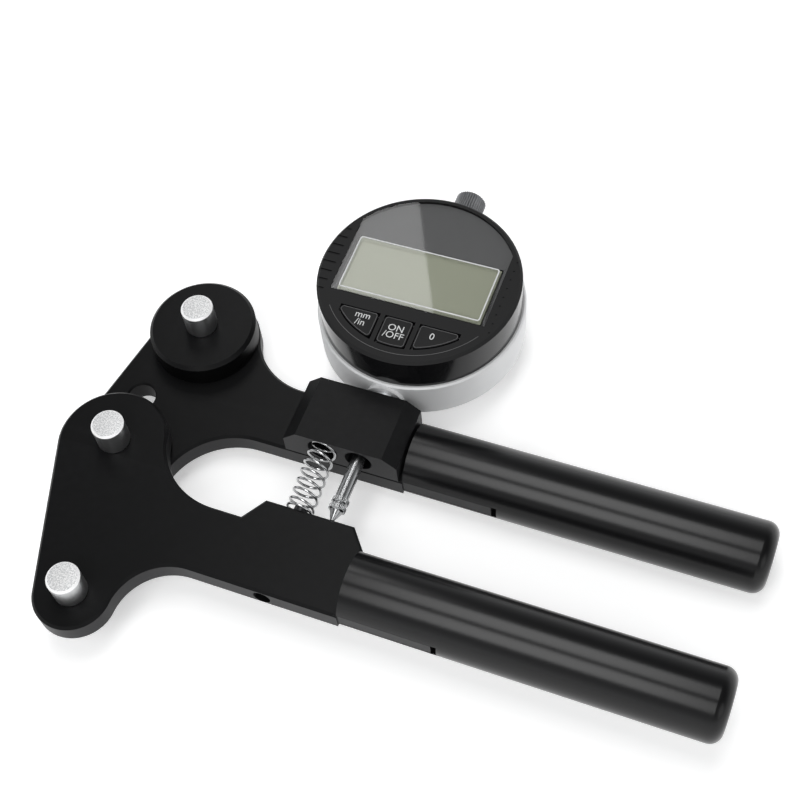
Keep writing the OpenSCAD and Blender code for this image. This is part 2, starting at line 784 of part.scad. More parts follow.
button_mid = (button_y + button_r) / 2 - 1;
function button_x(i) = i * (button_w / 2 + button_pitch_gap + side_button_w * 0.36);

// Button cap with a rim that keeps it under the face and a stalk that reaches its switch
module button(i) {
    rim = 0.8;
    rim_t = 0.8;
    rim_top = bezel_top - bezel_deck - face_gap;
    stalk_bottom = board_z + board_t + switch_h + button_travel + face_gap;
    on_dial(0) {
        translate([0, 0, rim_top]) linear_extrude(bezel_top + button_proud - rim_top) button_outline(i);
        translate([0, 0, rim_top - rim_t]) linear_extrude(rim_t) button_outline(i, rim);
        translate([button_x(i), -button_mid, stalk_bottom]) cylinder(h = rim_top - stalk_bottom, d = 3);
    }
}

module unit_button() {
    color("#1b1c1d") button(-1);
}

module power_button() {
    color("#1b1c1d") button(0);
}

module zero_button() {
    color("#1b1c1d") button(1);
}

// Tube that the block clamps and the spindle slides in
module stem() {
    color("#d0d1d3") difference() {
        spindle_rod(rear_side + stem_recess, dial_y - case_in + 1, stem_d / 2);
        spindle_rod(rear_side, dial_y, spindle_d / 2 + running_fit);
    }
}

// Bush that guides the spindle where it leaves the case
module rear_guide() {
    color("#d0d1d3") difference() {
        spindle_rod(dial_y + case_in - 1, dial_y + case_r + 2.4, stem_d / 2);
        spindle_rod(dial_y, dial_y + case_d, spindle_d / 2 + running_fit);
    }
}

thread_d = 2.5;
thread_len = 4;

module spindle() {
    color("#dcdde0") difference() {
        spindle_rod(spindle_start, knob_y + knob_len - 2, spindle_d / 2);
        spindle_rod(spindle_start - 1, spindle_start + thread_len, thread_d / 2 + fixed_fit);
    }
}

// Screwed-in tip: cone, grooved collar and thread
module contact_point() {
    tip_r = 0.7;
    groove = 0.3;
    color("#c9cacc") {
        translate([spindle_x, tip_y, stem_z]) rotate([-90, 0, 0]) rotate_extrude() {
            intersection() {
                translate([0, tip_r]) circle(tip_r);
                square(2 * tip_r);
            }
            polygon([[0, tip_r], [tip_r, tip_r], [collar_d / 2 - groove, cone_len], [0, cone_len]]);
            translate([0, cone_len]) square([collar_d / 2 - groove, collar_len]);
            translate([0, cone_len]) square([collar_d / 2, collar_len * 0.42]);
            translate([0, cone_len + collar_len * 0.58]) square([collar_d / 2, collar_len * 0.42]);
        }
        spindle_rod(spindle_start - 1, spindle_start + thread_len - 0.3, thread_d / 2);
    }
}

module lifting_knob() {
    edge = 0.6;
    color("#4c4d50") difference() {
        translate([spindle_x, knob_y, stem_z]) rotate([-90, 0, 0]) rotate_extrude() {
            polygon([
                [0, 0], [knob_d / 2 - edge, 0], [knob_d / 2, edge], [knob_d / 2, knob_len - edge],
                [knob_d / 2 - edge, knob_len], [0, knob_len]
            ]);
        }
        spindle_rod(knob_y - 1, knob_y + knob_len - 2, spindle_d / 2 + fixed_fit);
        for (i = [0 : knob_grooves - 1]) translate([spindle_x, knob_y - 1, stem_z])
            rotate([-90, 0, 0]) rotate(360 * i / knob_grooves) translate([knob_d / 2 + 0.1, 0, 0])
            cylinder(h = knob_len + 2, r = 0.35, $fn = 4);
    }
}

// Block on the spindle that carries the measuring scale inside the case
module scale_carrier() {
    front = dial_y - carrier_back;
    color("#8f9092") difference() {
        translate([spindle_x - carrier_w / 2, front, stem_z - carrier_h / 2])
            cube([carrier_w, carrier_len, carrier_h]);
        spindle_rod(front - 1, front + carrier_len + 1, spindle_d / 2 + fixed_fit);
    }
}

rear_plate();
clamp_block();
block_screws();
stem_clamp_screw();
post_disc();
rear_post();
rear_post_screw();
rear_handle();
rear_handle_screws();
pivot_bush();
pivot_washer();
front_plate();
front_post();
front_post_screw();
pivot_post();
pivot_bolt();
front_handle();
front_handle_screws();
preload_screw();
arm_spring();
dial_case();
dial_back();
back_screws();
battery_cap();
coin_cell();
dial_bezel();
window_pane();
display();
display_frame();
circuit_board();
unit_button();
power_button();
zero_button();
stem();
rear_guide();
spindle();
contact_point();
lifting_knob();
scale_carrier();
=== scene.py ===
"""Spoke tension meter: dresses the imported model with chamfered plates, turned posts, a wound spring,
a knurled knob, a printed window and studio light. Lengths are in metres; a number times MM is one
in millimetres."""
import math

import bmesh
import bpy
from mathutils import Euler, Matrix, Vector
from mathutils.geometry import tessellate_polygon


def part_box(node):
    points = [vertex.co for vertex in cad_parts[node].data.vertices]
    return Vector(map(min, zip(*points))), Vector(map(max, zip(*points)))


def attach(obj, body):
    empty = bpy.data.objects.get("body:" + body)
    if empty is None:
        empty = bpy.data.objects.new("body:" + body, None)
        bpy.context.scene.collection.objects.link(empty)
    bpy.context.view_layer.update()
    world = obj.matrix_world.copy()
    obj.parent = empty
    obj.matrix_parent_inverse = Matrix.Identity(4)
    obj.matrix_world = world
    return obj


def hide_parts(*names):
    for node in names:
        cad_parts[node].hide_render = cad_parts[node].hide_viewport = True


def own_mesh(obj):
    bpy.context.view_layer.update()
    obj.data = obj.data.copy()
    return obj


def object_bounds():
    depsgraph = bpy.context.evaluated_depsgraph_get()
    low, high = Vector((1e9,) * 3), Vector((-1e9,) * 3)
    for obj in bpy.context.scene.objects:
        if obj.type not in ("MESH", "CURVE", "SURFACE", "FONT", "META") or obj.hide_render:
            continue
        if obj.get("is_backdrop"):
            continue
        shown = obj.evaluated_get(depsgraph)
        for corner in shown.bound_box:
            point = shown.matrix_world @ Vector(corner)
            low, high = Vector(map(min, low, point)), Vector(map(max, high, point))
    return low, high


bl_info = {
    "name": "Spoke tension meter",
    "version": (1, 0, 0),
    "blender": (4, 5, 0),
    "location": "3D View > Sidebar > Tension meter",
    "description": "Dresses a packed spoke tension meter and lights it",
    "category": "Object",
}

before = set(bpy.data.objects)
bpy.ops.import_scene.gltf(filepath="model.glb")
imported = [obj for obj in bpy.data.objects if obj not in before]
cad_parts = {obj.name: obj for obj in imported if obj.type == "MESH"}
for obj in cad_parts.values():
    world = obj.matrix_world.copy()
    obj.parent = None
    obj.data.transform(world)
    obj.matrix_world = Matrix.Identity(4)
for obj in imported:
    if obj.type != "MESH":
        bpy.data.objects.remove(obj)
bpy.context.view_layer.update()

MM = 0.001
TAU = math.tau
ON_AXIS = 1e-6

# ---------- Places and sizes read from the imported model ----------


def centre(node):
    """Middle of a node's box."""
    low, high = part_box(node)
    return (low + high) / 2


def extent(node):
    """Size of a node's box."""
    low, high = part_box(node)
    return high - low


def handle_start(node):
    """Middle of a handle's end face, on the arm's side."""
    return Vector((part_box(node)[0].x, *centre(node).yz))


FRONT_LOW, FRONT_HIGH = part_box("front_plate")
REAR_LOW, REAR_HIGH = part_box("rear_plate")
FRONT_POST = centre("front_post")
REAR_POST = centre("rear_post")
POST_R = extent("front_post").x / 2
DISC_R = extent("post_disc").x / 2
HANDLE_R = extent("rear_handle").y / 2
FRONT_HANDLE = handle_start("front_handle")
REAR_HANDLE = handle_start("rear_handle")
SPINDLE = centre("spindle")
DIAL = centre("dial_back")
BEZEL_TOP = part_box("dial_bezel")[1].z
PANE_LOW, PANE_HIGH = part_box("window_pane")

# ---------- Sizes of the plan, the same as in the model's source ----------

PIVOT_LOBE_R = 16 * MM
PIVOT_LOBE = Vector((-0.9 * MM, 0))
FRONT_LOBE_R = 11.2 * MM
FRONT_HOLLOW_R = 16.2 * MM
FRONT_NECK_R = 22.4 * MM
REAR_LOBE_R = DISC_R + 0.3 * MM
REAR_NECK_R = 21.6 * MM
REAR_HOLLOW_R = 21 * MM
SHOULDER_RISE = 6.3 * MM
NECK_DEPTH = 6.9 * MM
SHOULDER_LEN = 26.2 * MM
SHOULDER_PAST = 7 * MM
SHOULDER_RAMP = 4.6 * MM
TANG_T = 4.8 * MM
TANG_LEN = 26 * MM
HANG_HOLE = Vector((-2.6 * MM, 19.5 * MM))
HANG_HOLE_R = 4.15 * MM
PIVOT_HOLE_R = 4.03 * MM
PRELOAD_HOLE_R = 2.53 * MM
POST_SCREW_R = 2.53 * MM
BLOCK_SCREW_R = 2.03 * MM
BLOCK_HEAD_R = 2 * BLOCK_SCREW_R
BUSH_R = 5.53 * MM
PIVOT_HEAD_R = 7 * MM
PIVOT_HEAD_DEPTH = 2.8 * MM

# ---------- Sizes of the finer pieces ----------

TANG_LAP = 1 * MM
TANG_PLAY = 0.05 * MM
TANG_EDGE = 0.2 * MM
HANG_HOLE_EDGE = 0.5 * MM
HOLE_EDGE = 0.1 * MM
DRILL_PAST = 1 * MM
POST_SOFT = 0.12 * MM
POST_SEAM = 0.2 * MM
KNOB_SINK = 0.32 * MM
KNOB_EDGE = 0.55 * MM
KNOB_RIB = 0.6 * MM
KNOB_BORE_R = 2.03 * MM
KNOB_CAP = 2 * MM
CONE_LEN = 3.5 * MM
CONE_FOOT = 0.5 * MM
TIP_R = 0.7 * MM
TIP_ANGLES = (0, 0.35, 0.7, 1.05, 1.35)
COLLAR_LEN = 4 * MM
COLLAR_R = 2.35 * MM
COLLAR_BAND = 0.42 * COLLAR_LEN
COLLAR_WAIST = 0.45 * MM
COLLAR_BEVEL = 0.2 * MM
COLLAR_RIB = 0.3 * MM
THREAD_R = 1.25 * MM
BUTTON_Y = 15.2 * MM
BUTTON_R = 24.4 * MM
BUTTON_RIM = 0.8 * MM
BUTTON_CORNER = 1.1 * MM
BUTTON_UNDER = 2.1 * MM
BUTTON_SOFT = 0.2 * MM
BUTTON_STALK_R = 1.5 * MM
PRINT_T = 0.03 * MM
PRINT_INSET = 0.3 * MM
LEDGE_LIFT = 0.05 * MM
DISPLAY_LINE = 0.4 * MM
DISPLAY_CORNER = 0.9 * MM
BUTTON_LINE = 0.12 * MM
ARC_LINE = 0.14 * MM
ARC_LINE_R = 26.6 * MM
ARC_LINE_ENDS = (math.radians(-142), math.radians(-32))
WORDS_SHIFT = 0.12
SPRING_TURNS = 9.1
SPRING_WIRE = 0.8 * MM
SPRING_R = 3.75 * MM
SPRING_END_PITCH = 1.3 * MM
SPRING_FOOT_UP = 0.7 * MM

# How far the spring's front and rear ends stand beside the spindle's line
SPRING_ASIDE = (9.8 * MM, 10.8 * MM)

# Two places on the pane along the edge of the reflected light
WINDOW_EDGE = ((58.97 * MM, 94.63 * MM), (74.95 * MM, 61.44 * MM))

# Where the camera stood, worked out from the photograph; its lens and sensor are in millimetres
CAMERA_AT = Vector((0.16838, -0.15127, 0.3337))
CAMERA_TURN = Euler([math.radians(a) for a in (29.861, 5.963, 21.542)], "XYZ")
CAMERA_LENS = 62.72
CAMERA_SENSOR = 36
CAMERA_SHIFT = (0.0684, 0.0718)
CAMERA_NEAR = 0.01

# Lights, with their power in watts. Each long one hangs over the handles: its name, how far it is turned
# towards the front, its width and its power.
SIDE_LIGHT_FAR = Vector((0.62, -0.42, 0.5))
SIDE_LIGHT_SIZE = (0.45, 0.45)
SIDE_LIGHT_POWER = 0.6
OVER_HANDLES = Vector((0.065, 0.003, 0))
LONG_LIGHT_FAR = 0.62
LONG_LIGHT_LEN = 0.26
LONG_LIGHTS = (("top", math.radians(-6), 0.35, 1.36), ("front", math.radians(36), 0.33, 1.3))
WINDOW_LIGHT_FAR = 0.6
WINDOW_LIGHT_SIZE = (0.14, 0.26)
WINDOW_LIGHT_POWER = 0.5

# Height of the sky, from the horizon to overhead, and its shade there
SKY_SHADES = ((0, 1.4), (0.35, 0.6), (0.7, 0.12), (1, 0.1))
FLOOR_HALF = 4
FLOOR_GAP = 0.05 * MM


# ---------- Settings ----------


class MeterSizes(bpy.types.PropertyGroup):
    """Sizes of the dressing."""

    plate_chamfer: bpy.props.FloatProperty(
        name="Plate chamfer", description="Width of the chamfer round both plates", default=0.75 * MM,
        unit="LENGTH")
    post_chamfer: bpy.props.FloatProperty(
        name="Post chamfer", description="Width of the chamfer round the posts' tops", default=0.6 * MM,
        unit="LENGTH")
    words_height: bpy.props.FloatProperty(
        name="Words height", description="Height of the words on the buttons", default=3.0 * MM,
        unit="LENGTH")
    knob_ribs: bpy.props.IntProperty(
        name="Knob ribs", description="Number of ribs round the lifting knob", default=38, min=12, max=120)
    collar_ribs: bpy.props.IntProperty(
        name="Collar ribs", description="Number of ribs round the contact point", default=30, min=12, max=60)
    spring_steps: bpy.props.IntProperty(
        name="Spring steps", description="Rings of points in each turn of the spring", default=40, min=12,
        max=80)


class MeterFinish(bpy.types.PropertyGroup):
    """Colours of the finishes."""

    anodised: bpy.props.FloatVectorProperty(
        name="Anodised", description="Colour of the arms, block and disc", subtype="COLOR", size=3,
        default=(0.0032, 0.0033, 0.0035))
    handle: bpy.props.FloatVectorProperty(
        name="Handles", description="Colour of the handles", subtype="COLOR", size=3,
        default=(0.004, 0.004, 0.0043))
    case: bpy.props.FloatVectorProperty(
        name="Case", description="Colour of the indicator's case", subtype="COLOR", size=3,
        default=(0.72, 0.725, 0.73))
    display: bpy.props.FloatVectorProperty(
        name="Display", description="Colour of the blank display", subtype="COLOR", size=3,
        default=(0.82, 0.86, 0.66))
    legend: bpy.props.FloatVectorProperty(
        name="Legends", description="Colour of the printed lines and words", subtype="COLOR", size=3,
        default=(0.62, 0.63, 0.63))


def sizes():
    """The sizes that are set in the panel."""
    return bpy.context.scene.meter_sizes


def finish():
    """The colours that are set in the panel."""
    return bpy.context.scene.meter_finish


# ---------- Materials ----------


def node_group(name, inputs, outputs):
    """New shader group with its sockets; returns the tree and its two end nodes."""
    tree = bpy.data.node_groups.new(name, "ShaderNodeTree")
    for socket, kind, value in inputs:
        made = tree.interface.new_socket(socket, in_out="INPUT", socket_type=kind)
        if value is not None:
            made.default_value = value
    for socket, kind in outputs:
        tree.interface.new_socket(socket, in_out="OUTPUT", socket_type=kind)
    return tree, tree.nodes.new("NodeGroupInput"), tree.nodes.new("NodeGroupOutput")


def add(tree, kind, **values):
    """Node with its settings and input values."""
    node = tree.nodes.new(kind)
    for key, value in values.items():
        if hasattr(node, key):
            setattr(node, key, value)
        else:
            node.inputs[key.replace("_", " ")].default_value = value
    return node


def feed(tree, colour, socket):
    """Gives a socket its colour, as three numbers or from another socket."""
    if isinstance(colour, bpy.types.NodeSocket):
        tree.links.new(colour, socket)
    else:
        socket.default_value = (*colour, 1)


def blend(tree, factor, low, high):
    """Mix of two colours; a Mix node has its colours at inputs 6 and 7 and output 2."""
    mixed = add(tree, "ShaderNodeMix", data_type="RGBA")
    tree.links.new(factor, mixed.inputs["Factor"])
    feed(tree, low, mixed.inputs[6])
    feed(tree, high, mixed.inputs[7])
    return mixed.outputs[2]


def facing_up(tree):
    """Socket that says how far the surface faces up, from -1 to 1."""
    point = add(tree, "ShaderNodeNewGeometry")
    split = add(tree, "ShaderNodeSeparateXYZ")
    tree.links.new(point.outputs["True Normal"], split.inputs[0])
    return split.outputs["Z"]


def level(tree):
    """Socket that gives the height of the surface, in object space."""
    coord = add(tree, "ShaderNodeTexCoord")
    split = add(tree, "ShaderNodeSeparateXYZ")
    tree.links.new(coord.outputs["Object"], split.inputs[0])
    return split.outputs["Z"]


def above(tree, value, limit):
    """Mask that is 1 where value lies over the limit."""
    over = add(tree, "ShaderNodeMath", operation="GREATER_THAN")
    over.inputs[1].default_value = limit
    tree.links.new(value, over.inputs[0])
    return over.outputs[0]


def grain_group():
    """Fine grain: a mask and a normal from noise in object space."""
    if "Fine grain" in bpy.data.node_groups:
        return bpy.data.node_groups["Fine grain"]
    tree, start, end = node_group(
        "Fine grain",
        [("Scale", "NodeSocketFloat", 2500.0), ("Depth", "NodeSocketFloat", 0.1),
         ("Stretch", "NodeSocketVector", (1.0, 1.0, 1.0))],
        [("Mask", "NodeSocketFloat"), ("Normal", "NodeSocketVector")])
    coord = add(tree, "ShaderNodeTexCoord")
    mapping = add(tree, "ShaderNodeMapping")
    noise = add(tree, "ShaderNodeTexNoise", Detail=2.0, Roughness=0.6)
    bump = add(tree, "ShaderNodeBump", Distance=0.0001)
    link = tree.links.new
    link(coord.outputs["Object"], mapping.inputs["Vector"])
    link(start.outputs["Stretch"], mapping.inputs["Scale"])
    link(mapping.outputs["Vector"], noise.inputs["Vector"])
    link(start.outputs["Scale"], noise.inputs["Scale"])
    link(noise.outputs["Fac"], bump.inputs["Height"])
    link(start.outputs["Depth"], bump.inputs["Strength"])
    link(noise.outputs["Fac"], end.inputs["Mask"])
    link(bump.outputs["Normal"], end.inputs["Normal"])
    return tree


def wear_group():
    """Edge wear: a mask that is 1 on sharp outer edges, broken up by noise."""
    if "Edge wear" in bpy.data.node_groups:
        return bpy.data.node_groups["Edge wear"]
    tree, start, end = node_group(
        "Edge wear", [("Amount", "NodeSocketFloat", 0.5)], [("Mask", "NodeSocketFloat")])
    point = add(tree, "ShaderNodeNewGeometry")
    ramp = add(tree, "ShaderNodeMapRange")
    ramp.inputs["From Min"].default_value = 0.52
    ramp.inputs["From Max"].default_value = 0.62
    coord = add(tree, "ShaderNodeTexCoord")
    noise = add(tree, "ShaderNodeTexNoise", Scale=420.0, Detail=3.0)
    times = add(tree, "ShaderNodeMath", operation="MULTIPLY")
    scaled = add(tree, "ShaderNodeMath", operation="MULTIPLY")
    link = tree.links.new
    link(point.outputs["Pointiness"], ramp.inputs["Value"])
    link(coord.outputs["Object"], noise.inputs["Vector"])
    link(ramp.outputs["Result"], times.inputs[0])
    link(noise.outputs["Fac"], times.inputs[1])
    link(times.outputs[0], scaled.inputs[0])
    link(start.outputs["Amount"], scaled.inputs[1])
    link(scaled.outputs[0], end.inputs["Mask"])
    return tree


def coated(name, colour, rough, metallic=0.0, grain=(2500.0, 0.1), spread=0.04, wear=0.0,
           edge=(0.3, 0.3, 0.31), stretch=(1.0, 1.0, 1.0), specular=0.5, tone=0.12):
    """Finish with fine grain, a little change of tone and worn edges."""
    if name in bpy.data.materials:
        return bpy.data.materials[name]
    mat = bpy.data.materials.new(name)
    mat.use_nodes = True
    tree = mat.node_tree
    bsdf = tree.nodes["Principled BSDF"]
    bsdf.inputs["Metallic"].default_value = metallic
    bsdf.inputs["Specular IOR Level"].default_value = specular
    link = tree.links.new
    fine = add(tree, "ShaderNodeGroup", node_tree=grain_group())
    fine.inputs["Scale"].default_value = grain[0]
    fine.inputs["Depth"].default_value = grain[1]
    fine.inputs["Stretch"].default_value = stretch
    if grain[1]:
        link(fine.outputs["Normal"], bsdf.inputs["Normal"])
    if tone:
        coord = add(tree, "ShaderNodeTexCoord")
        cloud = add(tree, "ShaderNodeTexNoise", Scale=60.0, Detail=2.0)
        link(coord.outputs["Object"], cloud.inputs["Vector"])
        dark = [c * (1 - tone) for c in colour]
        light = [min(1, c * (1 + tone)) for c in colour]
        colour = blend(tree, cloud.outputs["Fac"], dark, light)
    if wear:
        worn = add(tree, "ShaderNodeGroup", node_tree=wear_group())
        worn.inputs["Amount"].default_value = wear
        colour = blend(tree, worn.outputs["Mask"], colour, edge)
    feed(tree, colour, bsdf.inputs["Base Color"])
    bsdf.inputs["Roughness"].default_value = rough
    if spread:
        span = add(tree, "ShaderNodeMapRange")
        span.inputs["To Min"].default_value = max(0.02, rough - spread)
        span.inputs["To Max"].default_value = rough + spread
        link(fine.outputs["Mask"], span.inputs["Value"])
        link(span.outputs["Result"], bsdf.inputs["Roughness"])
    return mat


def anodised(name="Black anodised", painted_side_tone=(0.022, 0.022, 0.023)):
    """Satin black, with another colour on its sides that is painted light: lighter on the arms and the clamp
    block, as a painted reflection of the floor, and darker on the disc, as painted shade.
    """
    if name in bpy.data.materials:
        return bpy.data.materials[name]
    mat = coated(name, finish().anodised, 0.4, 0.0, (3200.0, 0.08), 0.05, 0.25, (0.02, 0.02, 0.022),
                 specular=0.12)
    tree = mat.node_tree
    base = tree.nodes["Principled BSDF"].inputs["Base Color"]
    # Painted light: what does not face up takes the side colour, a painted reflection of the floor on the
    # arms and block and a painted shade on the disc.
    up = above(tree, facing_up(tree), 0.5)
    tree.links.new(blend(tree, up, painted_side_tone, base.links[0].from_socket), base)
    return mat


def handle_coat():
    """Smooth black of the handles."""
    return coated("Handle coat", finish().handle, 0.24, 0.0, (2600.0, 0.05), 0.03, 0.15, (0.02, 0.02, 0.022),
                  specular=0.31)


def split_finish(mat, top_colour, top_rough, top_metallic, limit):
    """Gives a finish another colour, roughness and metal share where the surface faces up."""
    tree = mat.node_tree
    sockets = tree.nodes["Principled BSDF"].inputs
    link = tree.links.new
    up = above(tree, facing_up(tree), limit)
    base = sockets["Base Color"]
    link(blend(tree, up, base.links[0].from_socket, top_colour), base)
    for socket, value in ((sockets["Roughness"], top_rough), (sockets["Metallic"], top_metallic)):
        # What is the same all over stays on the socket
        if not socket.links and socket.default_value == value:
            continue
        mixed = add(tree, "ShaderNodeMix", data_type="FLOAT", A=socket.default_value, B=value)
        link(up, mixed.inputs["Factor"])
        if socket.links:
            link(socket.links[0].from_socket, mixed.inputs["A"])
        link(mixed.outputs[0], socket)
    return mat


def post_steel():
    """Turned steel with a fine speckle on its ground top, inside a ring on the chamfer painted near white as
    a highlight.
    """
    name = "Post steel"
    if name in bpy.data.materials:
        return bpy.data.materials[name]
    mat = coated(name, (0.55, 0.555, 0.56), 0.34, 1.0, (900.0, 0.04), 0.04)
    tree = mat.node_tree
    coord = add(tree, "ShaderNodeTexCoord")
    cells = add(tree, "ShaderNodeTexNoise", Scale=2600.0, Detail=1.0)
    tree.links.new(coord.outputs["Object"], cells.inputs["Vector"])
    ramp = add(tree, "ShaderNodeValToRGB")
    ramp.color_ramp.elements[0].position = 0.38
    ramp.color_ramp.elements[0].color = (0.54, 0.545, 0.55, 1)
    ramp.color_ramp.elements[1].position = 0.62
    ramp.color_ramp.elements[1].color = (0.86, 0.86, 0.86, 1)
    tree.links.new(cells.outputs["Fac"], ramp.inputs["Fac"])
    # Painted highlight: the chamfer round the top, which faces up but is not flat, is painted near white.
    flat = above(tree, facing_up(tree), 0.95)
    top_with_painted_ring = blend(tree, flat, (0.95, 0.95, 0.95), ramp.outputs["Color"])
    return split_finish(mat, top_with_painted_ring, 0.55, 0.3, 0.5)


def bright_steel():
    """Polished steel of the stem and guide."""
    return coated("Bright steel", (0.76, 0.77, 0.79), 0.09, 1.0, (700.0, 0.02), 0.02)


def spring_steel():
    """Drawn steel of the wound spring."""
    return coated("Spring steel", (0.5, 0.505, 0.51), 0.16, 1.0, (700.0, 0.02), 0.02)


def ground_steel():
    """Ground steel of the spindle and its contact point."""
    return coated("Ground steel", (0.4, 0.405, 0.41), 0.24, 1.0, (700.0, 0.02), 0.02)


def silver_case():
    """Satin metal, its grain drawn out round the case."""
    return coated("Satin case", finish().case, 0.5, 0.35, (1800.0, 0.05), 0.05, 0.0, stretch=(1, 1, 6))


def black_gloss():
    """Glossy black sides under a satin black face, with a grey ledge under the window, seen through the
    pane.
    """
    name = "Black gloss"
    if name in bpy.data.materials:
        return bpy.data.materials[name]
    mat = coated(name, (0.005, 0.005, 0.0055), 0.12, 0.0, (1500.0, 0.01), 0.02, specular=0.3)
    tree = mat.node_tree
    face = above(tree, level(tree), PANE_LOW.z + LEDGE_LIFT)
    shade = blend(tree, face, (0.235, 0.238, 0.24), (0.006, 0.006, 0.0064))
    return split_finish(mat, shade, 0.65, 0.0, 0.6)


def dark_screw():
    """Blackened screws."""
    return coated("Dark screw", (0.05, 0.05, 0.053), 0.34, 0.8, (1800.0, 0.06), 0.06, 0.4)


def plain_steel():
    """Turned steel of the hidden pieces."""
    return coated("Plain steel", (0.5, 0.5, 0.51), 0.28, 1.0, (1200.0, 0.05), 0.06)


def knob_steel():
    """Dark knurled steel with bright edges."""
    return coated("Knob steel", (0.1, 0.102, 0.107), 0.34, 0.9, (1400.0, 0.06), 0.06, 0.5, (0.4, 0.41, 0.42))


def brass():
    """Turned brass."""
    return coated("Bush brass", (0.62, 0.42, 0.18), 0.3, 1.0, (1200.0, 0.05), 0.05)


def plastic(name, colour, rough=0.5):
    """Plastic with a fine grain."""
    return coated(name, colour, rough, 0.0, (1800.0, 0.12), 0.06)


def legend_print():
    """Light print of words and lines."""
    return coated("Legend print", finish().legend, 0.45, 0.0, (2500.0, 0.03), 0.03)


def faint_lines():
    """Grey of the faintest lines: the outlines on the buttons and the arc on the bezel."""
    return coated("Faint print", (0.09, 0.09, 0.092), 0.45, 0.0, (2500.0, 0.03), 0.03)


def display_glass():
    """Blank liquid-crystal display: greenish grey with a faint change of tone."""
    return coated("Blank display", finish().display, 0.5, 0.0, (1500.0, 0.0), 0.0, tone=0.03)


def clear_pane():
    """Thin clear pane that lets the grey ledge and the display show through."""
    name = "Clear pane"
    if name in bpy.data.materials:
        return bpy.data.materials[name]
    mat = coated(name, (0, 0, 0), 0.03, 0.0, (900.0, 0.0), 0.0, tone=0.0)
    bsdf = mat.node_tree.nodes["Principled BSDF"]
    bsdf.inputs["Alpha"].default_value = 0.25
    bsdf.inputs["IOR"].default_value = 1.9
    return mat


# ---------- Mesh helpers ----------


def fill_mesh(mesh, bm, angle=32.0):
    """Writes bm into a mesh, smooth but for the edges sharper than angle, in degrees."""
    bmesh.ops.recalc_face_normals(bm, faces=bm.faces)
    bm.to_mesh(mesh)
    bm.free()
    for face in mesh.polygons:
        face.use_smooth = True
    mesh.set_sharp_from_angle(angle=math.radians(angle))


def new_piece(name, bm, material, angle=32.0):
    """Turns bm into a piece in the scene."""
    mesh = bpy.data.meshes.new(name)
    fill_mesh(mesh, bm, angle)
    mesh.materials.append(material)
    obj = bpy.data.objects.new(name, mesh)
    bpy.context.scene.collection.objects.link(obj)
    return obj


def evaluated_mesh(obj):
    """Mesh of an object as its modifiers or its text make it."""
    bpy.context.view_layer.update()
    return bpy.data.meshes.new_from_object(obj.evaluated_get(bpy.context.evaluated_depsgraph_get()))


def seat(obj, body, slot, *replaced):
    """Puts a finished piece on its body, in place of CAD nodes where it stands for some."""
    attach(obj, body)
    if replaced:
        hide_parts(*replaced)
    return obj


def ring(c, r, start, end, step=math.radians(3.5)):
    """Points on an arc from angle start to angle end."""
    count = max(2, math.ceil(abs(end - start) / step))
    angles = [start + (end - start) * i / count for i in range(count + 1)]
    return [Vector((c[0] + r * math.cos(a), c[1] + r * math.sin(a))) for a in angles]


def hole(c, r):
    """Closed circle, clockwise, as a hole in a slab."""
    return ring(c, r, 0, -TAU, math.radians(7.5))[:-1]


def toward(a, b):
    """Angle of the direction from a to b."""
    return math.atan2(b[1] - a[1], b[0] - a[0])


def hollow_at(c, c_r, y, r, side):
    """Centre of a circle of radius r that touches a straight edge at y and the circle at c."""
    cy = y + side * r
    return Vector((c[0] + math.sqrt((c_r + r) ** 2 - (cy - c[1]) ** 2), cy))


def left_tangent(a, a_r, b, b_r):
    """Direction from both centres to where their left-hand common tangent touches."""
    return toward(a, b) + math.acos((a_r - b_r) / (Vector(b[:2]) - Vector(a[:2])).length)


def moved_in(loop, inset):
    """Loop with each point moved to its left, so an outline shrinks and a hole grows."""
    moved = []
    for before, at, after in zip(loop[-1:] + loop[:-1], loop, loop[1:] + loop[:1]):
        one = (at - before).normalized()
        two = (after - at).normalized()
        normal = Vector((-one.y - two.y, one.x + two.x)).normalized()
        moved.append(at + normal * inset / max(0.3, normal.dot(Vector((-one.y, one.x)))))
    return moved


def add_slab(bm, loops):
    """Adds a plate. Each loop is (points, [(height, inset), ...]); the first is its outline."""
    caps = []
    for points, profile in loops:
        rows = [[bm.verts.new((p.x, p.y, z)) for p in moved_in(points, inset)] for z, inset in profile]
        for low, high in zip(rows, rows[1:]):
            for i, vert in enumerate(low):
                j = (i + 1) % len(low)
                bm.faces.new((vert, low[j], high[j], high[i]))
        caps.append((rows[0], rows[-1]))
    for side in (0, 1):
        verts = [v for cap in caps for v in cap[side]]
        for triangle in tessellate_polygon([[v.co for v in cap[side]] for cap in caps]):
            bm.faces.new([verts[i] for i in triangle])


def chamfered(z0, z1, size):
    """Profile of a loop with a chamfer at both faces."""
    return [(z0, size), (z0 + size, 0), (z1 - size, 0), (z1, size)]


def countersunk(z0, z1, size):
    """Profile of a hole with a countersink at the lower face."""
    return [(z0, size), (z0 + size, 0), (z1, 0)]


def drill(obj, start, end, radius):
    """Takes a round hole from start to end out of a piece."""
    along = Vector(end) - Vector(start)
    turn = along.to_track_quat("Z", "Y").to_matrix().to_4x4()
    place = Matrix.Translation((Vector(start) + Vector(end)) / 2) @ turn
    bm = bmesh.new()
    bmesh.ops.create_cone(bm, cap_ends=True, segments=40, radius1=radius, radius2=radius,
                          depth=along.length, matrix=place)
    mesh = bpy.data.meshes.new("cutter")
    bm.to_mesh(mesh)
    bm.free()
    tool = bpy.data.objects.new("cutter", mesh)
    bpy.context.scene.collection.objects.link(tool)
    modifier = obj.modifiers.new("Cut", "BOOLEAN")
    modifier.object = tool
    modifier.solver = "EXACT"
    obj.data = evaluated_mesh(obj)
    obj.modifiers.clear()
    bpy.data.objects.remove(tool)


